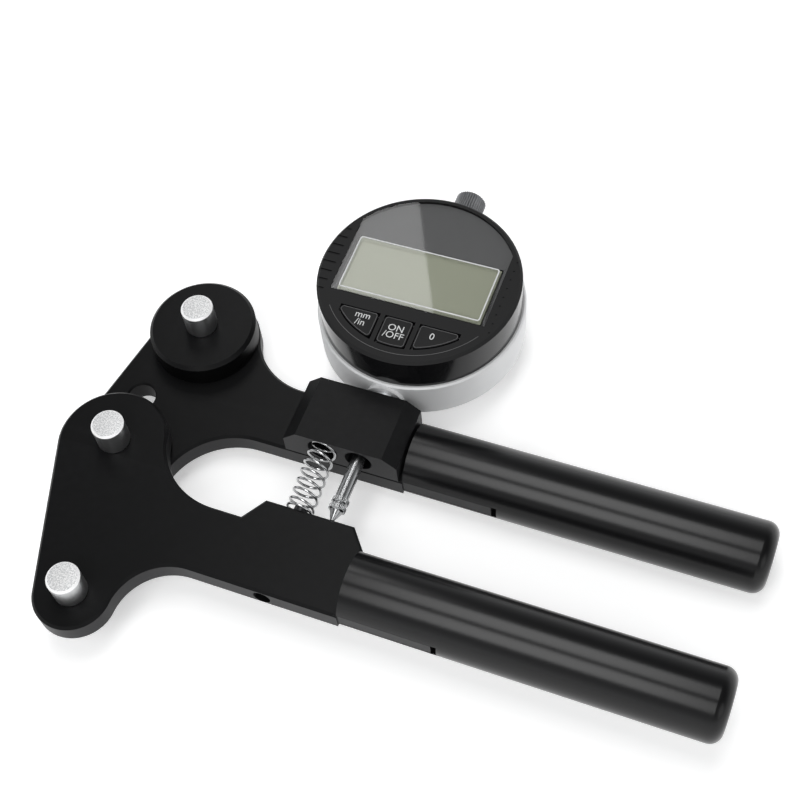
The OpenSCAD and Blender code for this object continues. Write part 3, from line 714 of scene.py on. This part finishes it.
def add_lathe(bm, profile, place, segments=96):
    """Adds a turned shape: profile is a list of (radius, height) along local Z, open or closed."""
    closed = profile[0] == profile[-1]
    rows = []
    for radius, rise in profile[:-1] if closed else profile:
        angles = [TAU * i / segments for i in range(1 if radius < ON_AXIS else segments)]
        rows.append([bm.verts.new(place @ Vector((radius * math.cos(a), radius * math.sin(a), rise)))
                     for a in angles])
    if closed:
        rows.append(rows[0])
    for low, high in zip(rows, rows[1:]):
        for i in range(segments):
            j = (i + 1) % segments
            corners = [low[i % len(low)], low[j % len(low)], high[j % len(high)], high[i % len(high)]]
            unique = list(dict.fromkeys(corners))
            if len(unique) > 2:
                bm.faces.new(unique)


def add_tube(bm, points, radius, painted_side_tone, up):
    """Adds a closed tube round a line of points; up gives each ring's first direction."""
    rows = []
    last = len(points) - 1
    for i, point in enumerate(points):
        along = (points[min(i + 1, last)] - points[max(i - 1, 0)]).normalized()
        out = (up[i] - along * up[i].dot(along)).normalized()
        across = along.cross(out)
        rows.append([bm.verts.new(point + radius * (math.cos(TAU * k / painted_side_tone) * out
                                                    + math.sin(TAU * k / painted_side_tone) * across))
                     for k in range(painted_side_tone)])
    for low, high in zip(rows, rows[1:]):
        for k in range(painted_side_tone):
            bm.faces.new((low[k], low[(k + 1) % painted_side_tone], high[(k + 1) % painted_side_tone], high[k]))
    bm.faces.new(rows[0])
    bm.faces.new(rows[-1])


def on_spindle(y):
    """Place on the spindle's line, with Z along it towards the knob."""
    return Matrix.Translation((SPINDLE.x, y, SPINDLE.z)) @ Matrix.Rotation(-TAU / 4, 4, "X")


def paint(material, *nodes):
    """Gives CAD nodes a finish."""
    for node in nodes:
        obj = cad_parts[node]
        obj.data.materials.clear()
        obj.data.materials.append(material)


# ---------- Arms ----------


def front_outline():
    """Front arm, counter-clockwise from the handle's side."""
    side = FRONT_HANDLE.y - HANDLE_R
    shoulder = FRONT_HANDLE.y + HANDLE_R + SHOULDER_RISE
    neck_y = shoulder - NECK_DEPTH
    shoulder_end = SPINDLE.x + SHOULDER_PAST
    shoulder_x = shoulder_end - SHOULDER_LEN
    neck = hollow_at(PIVOT_LOBE, PIVOT_LOBE_R, neck_y, FRONT_NECK_R, 1)
    dip = hollow_at(FRONT_POST, FRONT_LOBE_R, side, FRONT_HOLLOW_R, -1)
    left = left_tangent(FRONT_POST, FRONT_LOBE_R, PIVOT_LOBE, PIVOT_LOBE_R)
    points = [Vector(p) for p in (
        (FRONT_HANDLE.x, side), (FRONT_HANDLE.x, FRONT_HANDLE.y + HANDLE_R),
        (shoulder_end, shoulder), (shoulder_x, shoulder), (shoulder_x - SHOULDER_RAMP, neck_y))]
    points += ring(neck, FRONT_NECK_R, -TAU / 4, toward(neck, PIVOT_LOBE))
    points += ring(PIVOT_LOBE, PIVOT_LOBE_R, toward(PIVOT_LOBE, neck), left)[1:]
    points += ring(FRONT_POST, FRONT_LOBE_R, left, toward(FRONT_POST, dip) + TAU)
    points += ring(dip, FRONT_HOLLOW_R, toward(dip, FRONT_POST) % TAU, TAU / 4)[1:]
    return points


def rear_outline():
    """Rear arm, counter-clockwise from the handle's side."""
    side = REAR_HANDLE.y - HANDLE_R
    edge = REAR_HANDLE.y + HANDLE_R
    neck = hollow_at(PIVOT_LOBE, PIVOT_LOBE_R, side, REAR_NECK_R, -1)
    dip = hollow_at(REAR_POST, REAR_LOBE_R, edge, REAR_HOLLOW_R, 1)
    left = left_tangent(PIVOT_LOBE, PIVOT_LOBE_R, REAR_POST, REAR_LOBE_R)
    points = [Vector((REAR_HANDLE.x, side)), Vector((REAR_HANDLE.x, edge))]
    points += ring(dip, REAR_HOLLOW_R, -TAU / 4, toward(dip, REAR_POST) % -TAU)
    points += ring(REAR_POST, REAR_LOBE_R, toward(REAR_POST, dip), left)[1:]
    points += ring(PIVOT_LOBE, PIVOT_LOBE_R, left, toward(PIVOT_LOBE, neck) + TAU)
    points += ring(neck, REAR_NECK_R, toward(neck, PIVOT_LOBE) % TAU, TAU / 4)[1:]
    return points


def tang(handle, top):
    """Tongue inside a handle, as a slab of its own."""
    half = math.sqrt(HANDLE_R ** 2 - (TANG_T / 2) ** 2) - TANG_PLAY
    x0, x1 = handle.x - TANG_LAP, handle.x + TANG_LEN
    corners = [(x0, handle.y - half), (x1, handle.y - half), (x1, handle.y + half), (x0, handle.y + half)]
    return [([Vector(c) for c in corners], chamfered(top - TANG_T, top, TANG_EDGE))]


def front_arm_plate(size):
    """Front arm with a chamfer of that size, drilled for the preload screw."""
    z0, z1 = FRONT_LOW.z, FRONT_HIGH.z
    bm = bmesh.new()
    add_slab(bm, [
        (front_outline(), chamfered(z0, z1, size)),
        (hole(FRONT_POST, POST_SCREW_R), countersunk(z0, z1, POST_SCREW_R)),
        (hole((0, 0), PIVOT_HOLE_R), chamfered(z0, z1, HOLE_EDGE)),
    ])
    plate = new_piece("front_arm_plate", bm, anodised())
    screw = centre("preload_screw")
    near = FRONT_HANDLE.y - HANDLE_R - DRILL_PAST
    far = FRONT_HANDLE.y + HANDLE_R + SHOULDER_RISE + DRILL_PAST
    drill(plate, (screw.x, near, screw.z), (screw.x, far, screw.z), PRELOAD_HOLE_R)
    bm = bmesh.new()
    bm.from_mesh(plate.data)
    add_slab(bm, tang(FRONT_HANDLE, z1))
    fill_mesh(plate.data, bm)
    seat(plate, "front_arm", "black_anodised", "front_plate")


def rear_arm_plate(size):
    """Rear arm with a chamfer of that size and all its holes."""
    z0, z1 = REAR_LOW.z, REAR_HIGH.z
    wider = PIVOT_HEAD_R - BUSH_R
    deep = z0 + PIVOT_HEAD_DEPTH
    screws_low, screws_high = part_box("block_screws")
    bm = bmesh.new()
    add_slab(bm, [
        (rear_outline(), chamfered(z0, z1, size)),
        (hole(REAR_POST, POST_SCREW_R), countersunk(z0, z1, POST_SCREW_R)),
        (hole((0, 0), BUSH_R), [(z0, wider), (deep, wider), (deep, 0), (z1, 0)]),
        (hole(HANG_HOLE, HANG_HOLE_R), chamfered(z0, z1, HANG_HOLE_EDGE)),
        (hole(centre("stem_clamp_screw"), BLOCK_SCREW_R), chamfered(z0, z1, HOLE_EDGE)),
    ] + [(hole((x, REAR_HANDLE.y), BLOCK_SCREW_R), countersunk(z0, z1, BLOCK_SCREW_R))
         for x in (screws_low.x + BLOCK_HEAD_R, screws_high.x - BLOCK_HEAD_R)])
    add_slab(bm, tang(REAR_HANDLE, z1))
    seat(new_piece("rear_arm_plate", bm, anodised()), "rear_arm", "black_anodised", "rear_plate")


class METER_OT_arms(bpy.types.Operator):
    """Makes both chamfered arm plates, and finishes the clamp block and the disc"""

    bl_idname = "meter.arms"
    bl_label = "Arms"

    def execute(self, context):
        front_arm_plate(sizes().plate_chamfer)
        rear_arm_plate(sizes().plate_chamfer)
        paint(anodised(), "clamp_block")
        # The disc's sides are painted darker than its top, as painted shade.
        paint(anodised("Black disc", (0.002, 0.002, 0.0021)), "post_disc")
        return {"FINISHED"}


class METER_OT_posts(bpy.types.Operator):
    """Turns the three posts, and finishes the pivot pieces and the screws"""

    bl_idname = "meter.posts"
    bl_label = "Posts and pivot"

    def execute(self, context):
        posts = {"front_post": "front_arm", "pivot_post": "front_arm", "rear_post": "rear_arm"}
        top = sizes().post_chamfer
        edge = 0.3 * POST_SOFT
        foot = POST_R - POST_SEAM
        for node, body in posts.items():
            at = centre(node)
            h = extent(node).z
            bm = bmesh.new()
            add_lathe(bm, [(0, 0), (foot, 0), (foot, POST_SEAM), (POST_R, 2 * POST_SEAM),
                           (POST_R, h - top - POST_SOFT), (POST_R - edge, h - top),
                           (POST_R - top, h - edge), (POST_R - top - POST_SOFT, h), (0, h)],
                      Matrix.Translation((at.x, at.y, at.z - h / 2)))
            seat(new_piece(node + "_turned", bm, post_steel(), angle=20), body, "post_steel", node)
        paint(plain_steel(), "pivot_bolt", "back_screws", "coin_cell", "scale_carrier")
        paint(dark_screw(), "block_screws", "stem_clamp_screw", "rear_post_screw", "front_post_screw",
              "rear_handle_screws", "front_handle_screws", "preload_screw")
        paint(brass(), "pivot_bush")
        paint(plastic("Washer plastic", (0.75, 0.73, 0.66)), "pivot_washer")
        return {"FINISHED"}


class METER_OT_handles(bpy.types.Operator):
    """Finishes the two slotted handles"""

    bl_idname = "meter.handles"
    bl_label = "Handles"

    def execute(self, context):
        paint(handle_coat(), "rear_handle", "front_handle")
        return {"FINISHED"}


def spring_rise(t, span):
    """Height along the spring after t turns: its end turns lie close, the others evenly."""
    close = min(t, 1) + max(0, t - SPRING_TURNS + 1)
    pitch = (span - 2 * SPRING_END_PITCH) / (SPRING_TURNS - 2)
    return SPRING_END_PITCH * close + pitch * (t - close)


class METER_OT_spring(bpy.types.Operator):
    """Winds the spring between the arms"""

    bl_idname = "meter.spring"
    bl_label = "Spring"

    def execute(self, context):
        low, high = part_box("arm_spring")
        half = SPRING_WIRE / 2
        start = Vector((SPINDLE.x - SPRING_ASIDE[0], low.y + half, FRONT_LOW.z / 2 + SPRING_FOOT_UP))
        end = Vector((SPINDLE.x - SPRING_ASIDE[1], high.y - half, SPINDLE.z))
        span = end.y - start.y
        steps = round(SPRING_TURNS * sizes().spring_steps)
        points, outs = [], []
        for i in range(steps + 1):
            t = SPRING_TURNS * i / steps
            out = Vector((math.cos(TAU * t), 0, math.sin(TAU * t)))
            points.append(start + (end - start) * spring_rise(t, span) / span + SPRING_R * out)
            outs.append(out)
        bm = bmesh.new()
        add_tube(bm, points, half, 16, outs)
        wire = new_piece("wound_spring", bm, spring_steel(), angle=60)
        piece = seat(wire, "rear_arm", "bright_steel", "arm_spring")
        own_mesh(piece)
        return {"FINISHED"}


def rib_tree(material):
    """Geometry nodes: ribs placed round a circle, made real and given their material."""
    tree = bpy.data.node_groups.new("Ribs", "GeometryNodeTree")
    tree.interface.new_socket("Geometry", in_out="OUTPUT", socket_type="NodeSocketGeometry")
    names = {}
    for name, kind in (("Count", "NodeSocketInt"), ("Radius", "NodeSocketFloat"),
                       ("Rib width", "NodeSocketFloat"), ("Length", "NodeSocketFloat")):
        names[name] = tree.interface.new_socket(name, in_out="INPUT", socket_type=kind).identifier
    start = add(tree, "NodeGroupInput")
    end = add(tree, "NodeGroupOutput")
    circle = add(tree, "GeometryNodeMeshCircle")
    rib = add(tree, "GeometryNodeMeshCylinder", Vertices=6)
    half = add(tree, "ShaderNodeMath", operation="MULTIPLY")
    half.inputs[1].default_value = 0.5
    place = add(tree, "GeometryNodeInstanceOnPoints")
    real = add(tree, "GeometryNodeRealizeInstances")
    finished = add(tree, "GeometryNodeSetMaterial", Material=material)
    link = tree.links.new
    link(start.outputs["Count"], circle.inputs["Vertices"])
    link(start.outputs["Radius"], circle.inputs["Radius"])
    link(start.outputs["Rib width"], half.inputs[0])
    link(half.outputs[0], rib.inputs["Radius"])
    link(start.outputs["Length"], rib.inputs["Depth"])
    link(circle.outputs["Mesh"], place.inputs["Points"])
    link(rib.outputs["Mesh"], place.inputs["Instance"])
    link(place.outputs["Instances"], real.inputs["Geometry"])
    link(real.outputs["Geometry"], finished.inputs["Geometry"])
    link(finished.outputs["Geometry"], end.inputs["Geometry"])
    return tree, names


def knurl(name, y, radius, count, width, length, material):
    """Straight knurl: ribs round the spindle's line, with their middles at y."""
    tree, names = rib_tree(material)
    ribs = bpy.data.objects.new(name, bpy.data.meshes.new(name))
    bpy.context.scene.collection.objects.link(ribs)
    modifier = ribs.modifiers.new("Ribs", "NODES")
    modifier.node_group = tree
    for key, value in (("Count", count), ("Radius", radius), ("Rib width", width), ("Length", length)):
        modifier[names[key]] = value
    ribs.data = evaluated_mesh(ribs)
    ribs.modifiers.clear()
    ribs.data.transform(on_spindle(y))
    return ribs


def lifting_knob():
    """Bored knob with chamfered ends and a straight knurl."""
    low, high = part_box("lifting_knob")
    length = high.y - low.y
    core = (high.x - low.x) / 2 - KNOB_SINK
    bm = bmesh.new()
    add_lathe(bm, [(KNOB_BORE_R, 0), (core - KNOB_EDGE, 0), (core, KNOB_EDGE), (core, length - KNOB_EDGE),
                   (core - KNOB_EDGE, length), (0, length), (0, length - KNOB_CAP),
                   (KNOB_BORE_R, length - KNOB_CAP), (KNOB_BORE_R, 0)], on_spindle(low.y))
    seat(new_piece("knob_core", bm, knob_steel(), angle=30), "spindle_set", "knob_steel", "lifting_knob")
    ribs = knurl("knob_ribs", low.y + length / 2, core, sizes().knob_ribs, KNOB_RIB,
                 length - 2 * KNOB_EDGE, knob_steel())
    seat(ribs, "spindle_set", "knob_steel")


def contact_point():
    """Round-nosed cone, its collar with two knurled bands, and the thread in the spindle."""
    low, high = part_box("contact_point")
    thread = high.y - low.y
    core, waist, bevel = COLLAR_R, COLLAR_R - COLLAR_WAIST, COLLAR_BEVEL
    end = CONE_LEN + COLLAR_LEN
    first, second = CONE_LEN + COLLAR_BAND, end - COLLAR_BAND
    nose = [(TIP_R * math.sin(a), TIP_R * (1 - math.cos(a))) for a in TIP_ANGLES]
    bm = bmesh.new()
    add_lathe(bm, nose + [
        (core - CONE_FOOT, CONE_LEN - bevel), (core - bevel, CONE_LEN), (core, CONE_LEN + bevel),
        (core, first - bevel), (waist, first + bevel), (waist, second - bevel), (core, second + bevel),
        (core, end - bevel), (core - bevel, end), (THREAD_R, end), (THREAD_R, thread), (0, thread)],
        on_spindle(low.y), 64)
    turned = new_piece("contact_core", bm, ground_steel(), angle=25)
    seat(turned, "spindle_set", "bright_steel", "contact_point")
    for i, middle in enumerate((CONE_LEN + COLLAR_BAND / 2, end - COLLAR_BAND / 2)):
        ribs = knurl(f"contact_ribs_{i}", low.y + middle, core, sizes().collar_ribs, COLLAR_RIB,
                     COLLAR_BAND - 2 * bevel, ground_steel())
        seat(ribs, "spindle_set", "bright_steel")


class METER_OT_spindle(bpy.types.Operator):
    """Finishes the spindle, and makes its knurled contact point and lifting knob"""

    bl_idname = "meter.spindle"
    bl_label = "Spindle and knob"

    def execute(self, context):
        paint(ground_steel(), "spindle")
        paint(bright_steel(), "stem", "rear_guide")
        lifting_knob()
        contact_point()
        return {"FINISHED"}


def strip_print(name, loops, z, body, material=None):
    """Thin print between z and a hair above it; loops are the outer line and any inner ones."""
    bm = bmesh.new()
    add_slab(bm, [(loop, [(z, 0), (z + PRINT_T, 0)]) for loop in loops])
    return seat(new_piece(name, bm, material or faint_lines()), body, "display_grey")


def line_print(name, loop, width, z, body):
    """Thin printed line along the inside of a loop."""
    return strip_print(name, [loop, moved_in(loop, width)[::-1]], z, body, legend_print())


def words(name, lines, at, height, body):
    """Printed words, one line under another, with their middle over a place."""
    curve = bpy.data.curves.new(name, "FONT")
    curve.body = "\n".join(lines)
    curve.size = height
    curve.align_x = curve.align_y = "CENTER"
    curve.space_line = 0.82
    curve.resolution_u = 4
    curve.extrude = PRINT_T / 2
    draft = bpy.data.objects.new(name, curve)
    bpy.context.scene.collection.objects.link(draft)
    mesh = evaluated_mesh(draft)
    bpy.data.objects.remove(draft)
    mesh.transform(Matrix.Translation(at))
    mesh.materials.clear()
    mesh.materials.append(legend_print())
    obj = bpy.data.objects.new(name, mesh)
    bpy.context.scene.collection.objects.link(obj)
    return seat(obj, body, "display_grey")


def widened(inner, r, step=0.2):
    """Convex counter-clockwise loop moved out by r, with arcs of that radius at its corners."""
    points = []
    for before, at, after in zip(inner[-1:] + inner[:-1], inner, inner[1:] + inner[:1]):
        start = toward(before, at) - TAU / 4
        turn = (toward(at, after) - toward(before, at)) % TAU
        count = max(1, round(turn / step))
        points += [Vector((at.x + r * math.cos(start + turn * (i + 0.5) / count),
                           at.y + r * math.sin(start + turn * (i + 0.5) / count))) for i in range(count)]
    return points


def under_dial(x, r):
    """Lowest Y at x of a circle about the dial's middle."""
    return DIAL.y - math.sqrt(r ** 2 - (x - DIAL.x) ** 2)


def button_loop(x0, x1, inset):
    """Outline of a button between x0 and x1 with round corners, straight above and an arc below."""
    top = DIAL.y - BUTTON_Y - BUTTON_CORNER
    x0, x1 = x0 + BUTTON_CORNER, x1 - BUTTON_CORNER
    arc = [x0 + (x1 - x0) * i / 8 for i in range(9)]
    inner = [Vector((x, under_dial(x, BUTTON_R - BUTTON_CORNER))) for x in arc]
    return widened(inner + [Vector((x1, top)), Vector((x0, top))], BUTTON_CORNER - inset)


def rounded_box(low, high, r):
    """Counter-clockwise rectangle with round corners."""
    points = []
    for i, c in enumerate(((high.x - r, low.y + r), (high.x - r, high.y - r), (low.x + r, high.y - r),
                           (low.x + r, low.y + r))):
        points += ring(c, r, (i - 1) * TAU / 4, i * TAU / 4, math.radians(15))
    return points


def button(node, lines):
    """Moulded button on its stalk, with a thin grey line round its top and its words."""
    low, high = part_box(node)
    x0, x1 = low.x + BUTTON_RIM, high.x - BUTTON_RIM
    rim_top = BEZEL_TOP - BUTTON_UNDER
    edge = 0.3 * BUTTON_SOFT
    body = node + "_cap"
    mid = centre(node)
    bm = bmesh.new()
    add_slab(bm, [(button_loop(x0, x1, 0), [(rim_top, 0), (high.z - BUTTON_SOFT, 0),
                                            (high.z - edge, edge), (high.z, BUTTON_SOFT)])])
    add_slab(bm, [(button_loop(x0, x1, -BUTTON_RIM), [(rim_top - BUTTON_RIM, 0), (rim_top, 0)])])
    add_lathe(bm, [(0, low.z), (BUTTON_STALK_R, low.z), (BUTTON_STALK_R, rim_top), (0, rim_top)],
              Matrix.Translation((mid.x, mid.y, 0)), 24)
    seat(new_piece(node + "_moulded", bm, black_gloss()), body, "black_gloss", node)
    outline = [button_loop(x0, x1, PRINT_INSET), button_loop(x0, x1, PRINT_INSET + BUTTON_LINE)[::-1]]
    strip_print(node + "_outline", outline, high.z, body)
    middle_y = (DIAL.y - BUTTON_Y + under_dial(mid.x, BUTTON_R)) / 2
    at = (mid.x + WORDS_SHIFT * (DIAL.x - mid.x), middle_y, high.z + PRINT_T / 2)
    words(node + "_words", lines, at, sizes().words_height, body)


class METER_OT_indicator(bpy.types.Operator):
    """Finishes the indicator's case, front, window and display, and makes its prints and buttons"""

    bl_idname = "meter.indicator"
    bl_label = "Indicator"

    def execute(self, context):
        paint(silver_case(), "dial_case")
        paint(plastic("Back plastic", (0.07, 0.07, 0.073)), "dial_back", "battery_cap")
        paint(black_gloss(), "dial_bezel")
        paint(display_glass(), "display")
        paint(plastic("Inner plastic", (0.05, 0.05, 0.055)), "display_frame")
        paint(plastic("Board green", (0.03, 0.15, 0.05), 0.4), "circuit_board")
        paint(clear_pane(), "window_pane")
        low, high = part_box("display")
        inset = Vector((PRINT_INSET, PRINT_INSET, 0))
        line_print("display_outline", rounded_box(low + inset, high - inset, DISPLAY_CORNER), DISPLAY_LINE,
                   PANE_HIGH.z, "rear_arm")
        start, stop = ARC_LINE_ENDS
        outer = ring(DIAL, ARC_LINE_R + ARC_LINE / 2, start, stop)
        inner = ring(DIAL, ARC_LINE_R - ARC_LINE / 2, stop, start)
        strip_print("arc_line", [outer + inner], BEZEL_TOP, "rear_arm")
        legends = {"unit_button": ("mm", "/in"), "power_button": ("ON", "/OFF"), "zero_button": ("0",)}
        for node, lines in legends.items():
            button(node, lines)
        return {"FINISHED"}


# ---------- Stage ----------


def area_light(name, at, aim, size, power):
    """Rectangular light that looks from one place at another."""
    data = bpy.data.lights.new(name, "AREA")
    data.shape = "RECTANGLE"
    data.size, data.size_y = size
    data.energy = power
    obj = bpy.data.objects.new(name, data)
    obj.location = at
    obj.rotation_mode = "QUATERNION"
    obj.rotation_quaternion = (Vector(aim) - Vector(at)).to_track_quat("-Z", "Y")
    bpy.context.scene.collection.objects.link(obj)
    return obj


def window_light():
    """Narrow light whose straight edge shows in the window pane, seen from the camera."""
    ends = []
    for x, y in WINDOW_EDGE:
        at = Vector((x, y, PANE_HIGH.z))
        look = (at - CAMERA_AT).normalized()
        ends.append(at + WINDOW_LIGHT_FAR * Vector((look.x, look.y, -look.z)))
    middle = (ends[0] + ends[1]) / 2
    facing = (middle - centre("window_pane")).normalized()
    along = (ends[0] - ends[1]).normalized()
    along = (along - facing * along.dot(facing)).normalized()
    aside = along.cross(facing)
    place = middle - aside * WINDOW_LIGHT_SIZE[0] / 2
    light = area_light("window", place, middle, WINDOW_LIGHT_SIZE, WINDOW_LIGHT_POWER)
    light.rotation_quaternion = Matrix((aside, along, facing)).transposed().to_quaternion()


def pale_floor(z):
    """Large pale floor at height z."""
    bm = bmesh.new()
    bmesh.ops.create_grid(bm, x_segments=1, y_segments=1, size=FLOOR_HALF)
    mesh = bpy.data.meshes.new("floor")
    bm.to_mesh(mesh)
    bm.free()
    floor = bpy.data.objects.new("floor", mesh)
    floor.location = (0, 0, z)
    bpy.context.scene.collection.objects.link(floor)
    white = bpy.data.materials.new("Floor")
    white.use_nodes = True
    bsdf = white.node_tree.nodes["Principled BSDF"]
    for socket, value in (("Base Color", (0.9, 0.9, 0.9, 1)), ("Roughness", 0.7),
                          ("Emission Color", (1, 1, 1, 1)), ("Emission Strength", 0.4)):
        bsdf.inputs[socket].default_value = value
    mesh.materials.append(white)
    floor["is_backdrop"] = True


def studio_sky():
    """Dim surroundings, lighter below the horizon than above."""
    world = bpy.data.worlds.new("Studio")
    world.use_nodes = True
    tree = world.node_tree
    heading = add(tree, "ShaderNodeTexCoord")
    split = add(tree, "ShaderNodeSeparateXYZ")
    sky = add(tree, "ShaderNodeValToRGB")
    stops = sky.color_ramp.elements
    for place, _ in SKY_SHADES[1:-1]:
        stops.new(place)
    for stop, (_, shade) in zip(stops, SKY_SHADES):
        stop.color = (shade, shade * 1.01, shade * 1.02, 1)
    tree.links.new(heading.outputs["Generated"], split.inputs[0])
    tree.links.new(split.outputs["Z"], sky.inputs["Fac"])
    tree.links.new(sky.outputs["Color"], tree.nodes["Background"].inputs["Color"])
    bpy.context.scene.world = world


def photo_camera():
    """Camera where the photograph was taken from."""
    data = bpy.data.cameras.new("camera")
    data.lens = CAMERA_LENS
    data.sensor_width = CAMERA_SENSOR
    data.shift_x, data.shift_y = CAMERA_SHIFT
    data.clip_start = CAMERA_NEAR
    camera = bpy.data.objects.new("camera", data)
    camera.location = CAMERA_AT
    camera.rotation_euler = CAMERA_TURN
    bpy.context.scene.collection.objects.link(camera)
    bpy.context.scene.camera = camera


class METER_OT_stage(bpy.types.Operator):
    """Makes the floor, the lights and the camera"""

    bl_idname = "meter.stage"
    bl_label = "Stage"

    def execute(self, context):
        low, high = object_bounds()
        middle = (low + high) / 2
        pale_floor(low.z - FLOOR_GAP)
        studio_sky()
        context.scene.view_settings.view_transform = "Standard"
        area_light("right", middle + SIDE_LIGHT_FAR, middle, SIDE_LIGHT_SIZE, SIDE_LIGHT_POWER)
        for name, turn, width, power in LONG_LIGHTS:
            at = OVER_HANDLES + LONG_LIGHT_FAR * Vector((0, -math.sin(turn), math.cos(turn)))
            area_light(name, at, OVER_HANDLES, (LONG_LIGHT_LEN, width), power)
        window_light()
        photo_camera()
        return {"FINISHED"}


class METER_PT_panel(bpy.types.Panel):
    """Lists the steps"""

    bl_idname = "METER_PT_panel"
    bl_label = "Spoke tension meter"
    bl_space_type = "VIEW_3D"
    bl_region_type = "UI"
    bl_category = "Tension meter"

    def draw(self, context):
        for group in (context.scene.meter_sizes, context.scene.meter_finish):
            for key in type(group).__annotations__:
                self.layout.prop(group, key)
        for step in STEPS:
            self.layout.operator(step.bl_idname)


STEPS = [METER_OT_arms, METER_OT_posts, METER_OT_handles, METER_OT_spring, METER_OT_spindle,
         METER_OT_indicator, METER_OT_stage]
CLASSES = [MeterSizes, MeterFinish, *STEPS, METER_PT_panel]


def register():
    """Registers the classes and puts the settings on the scene."""
    for cls in CLASSES:
        bpy.utils.register_class(cls)
    bpy.types.Scene.meter_sizes = bpy.props.PointerProperty(type=MeterSizes)
    bpy.types.Scene.meter_finish = bpy.props.PointerProperty(type=MeterFinish)


def unregister():
    """Takes the settings and the classes away again."""
    del bpy.types.Scene.meter_finish
    del bpy.types.Scene.meter_sizes
    for cls in reversed(CLASSES):
        bpy.utils.unregister_class(cls)


def main():
    """Makes every piece and the stage."""
    register()
    for step in STEPS:
        group, name = step.bl_idname.split(".")
        getattr(getattr(bpy.ops, group), name)()


if __name__ == "__main__":
    main()
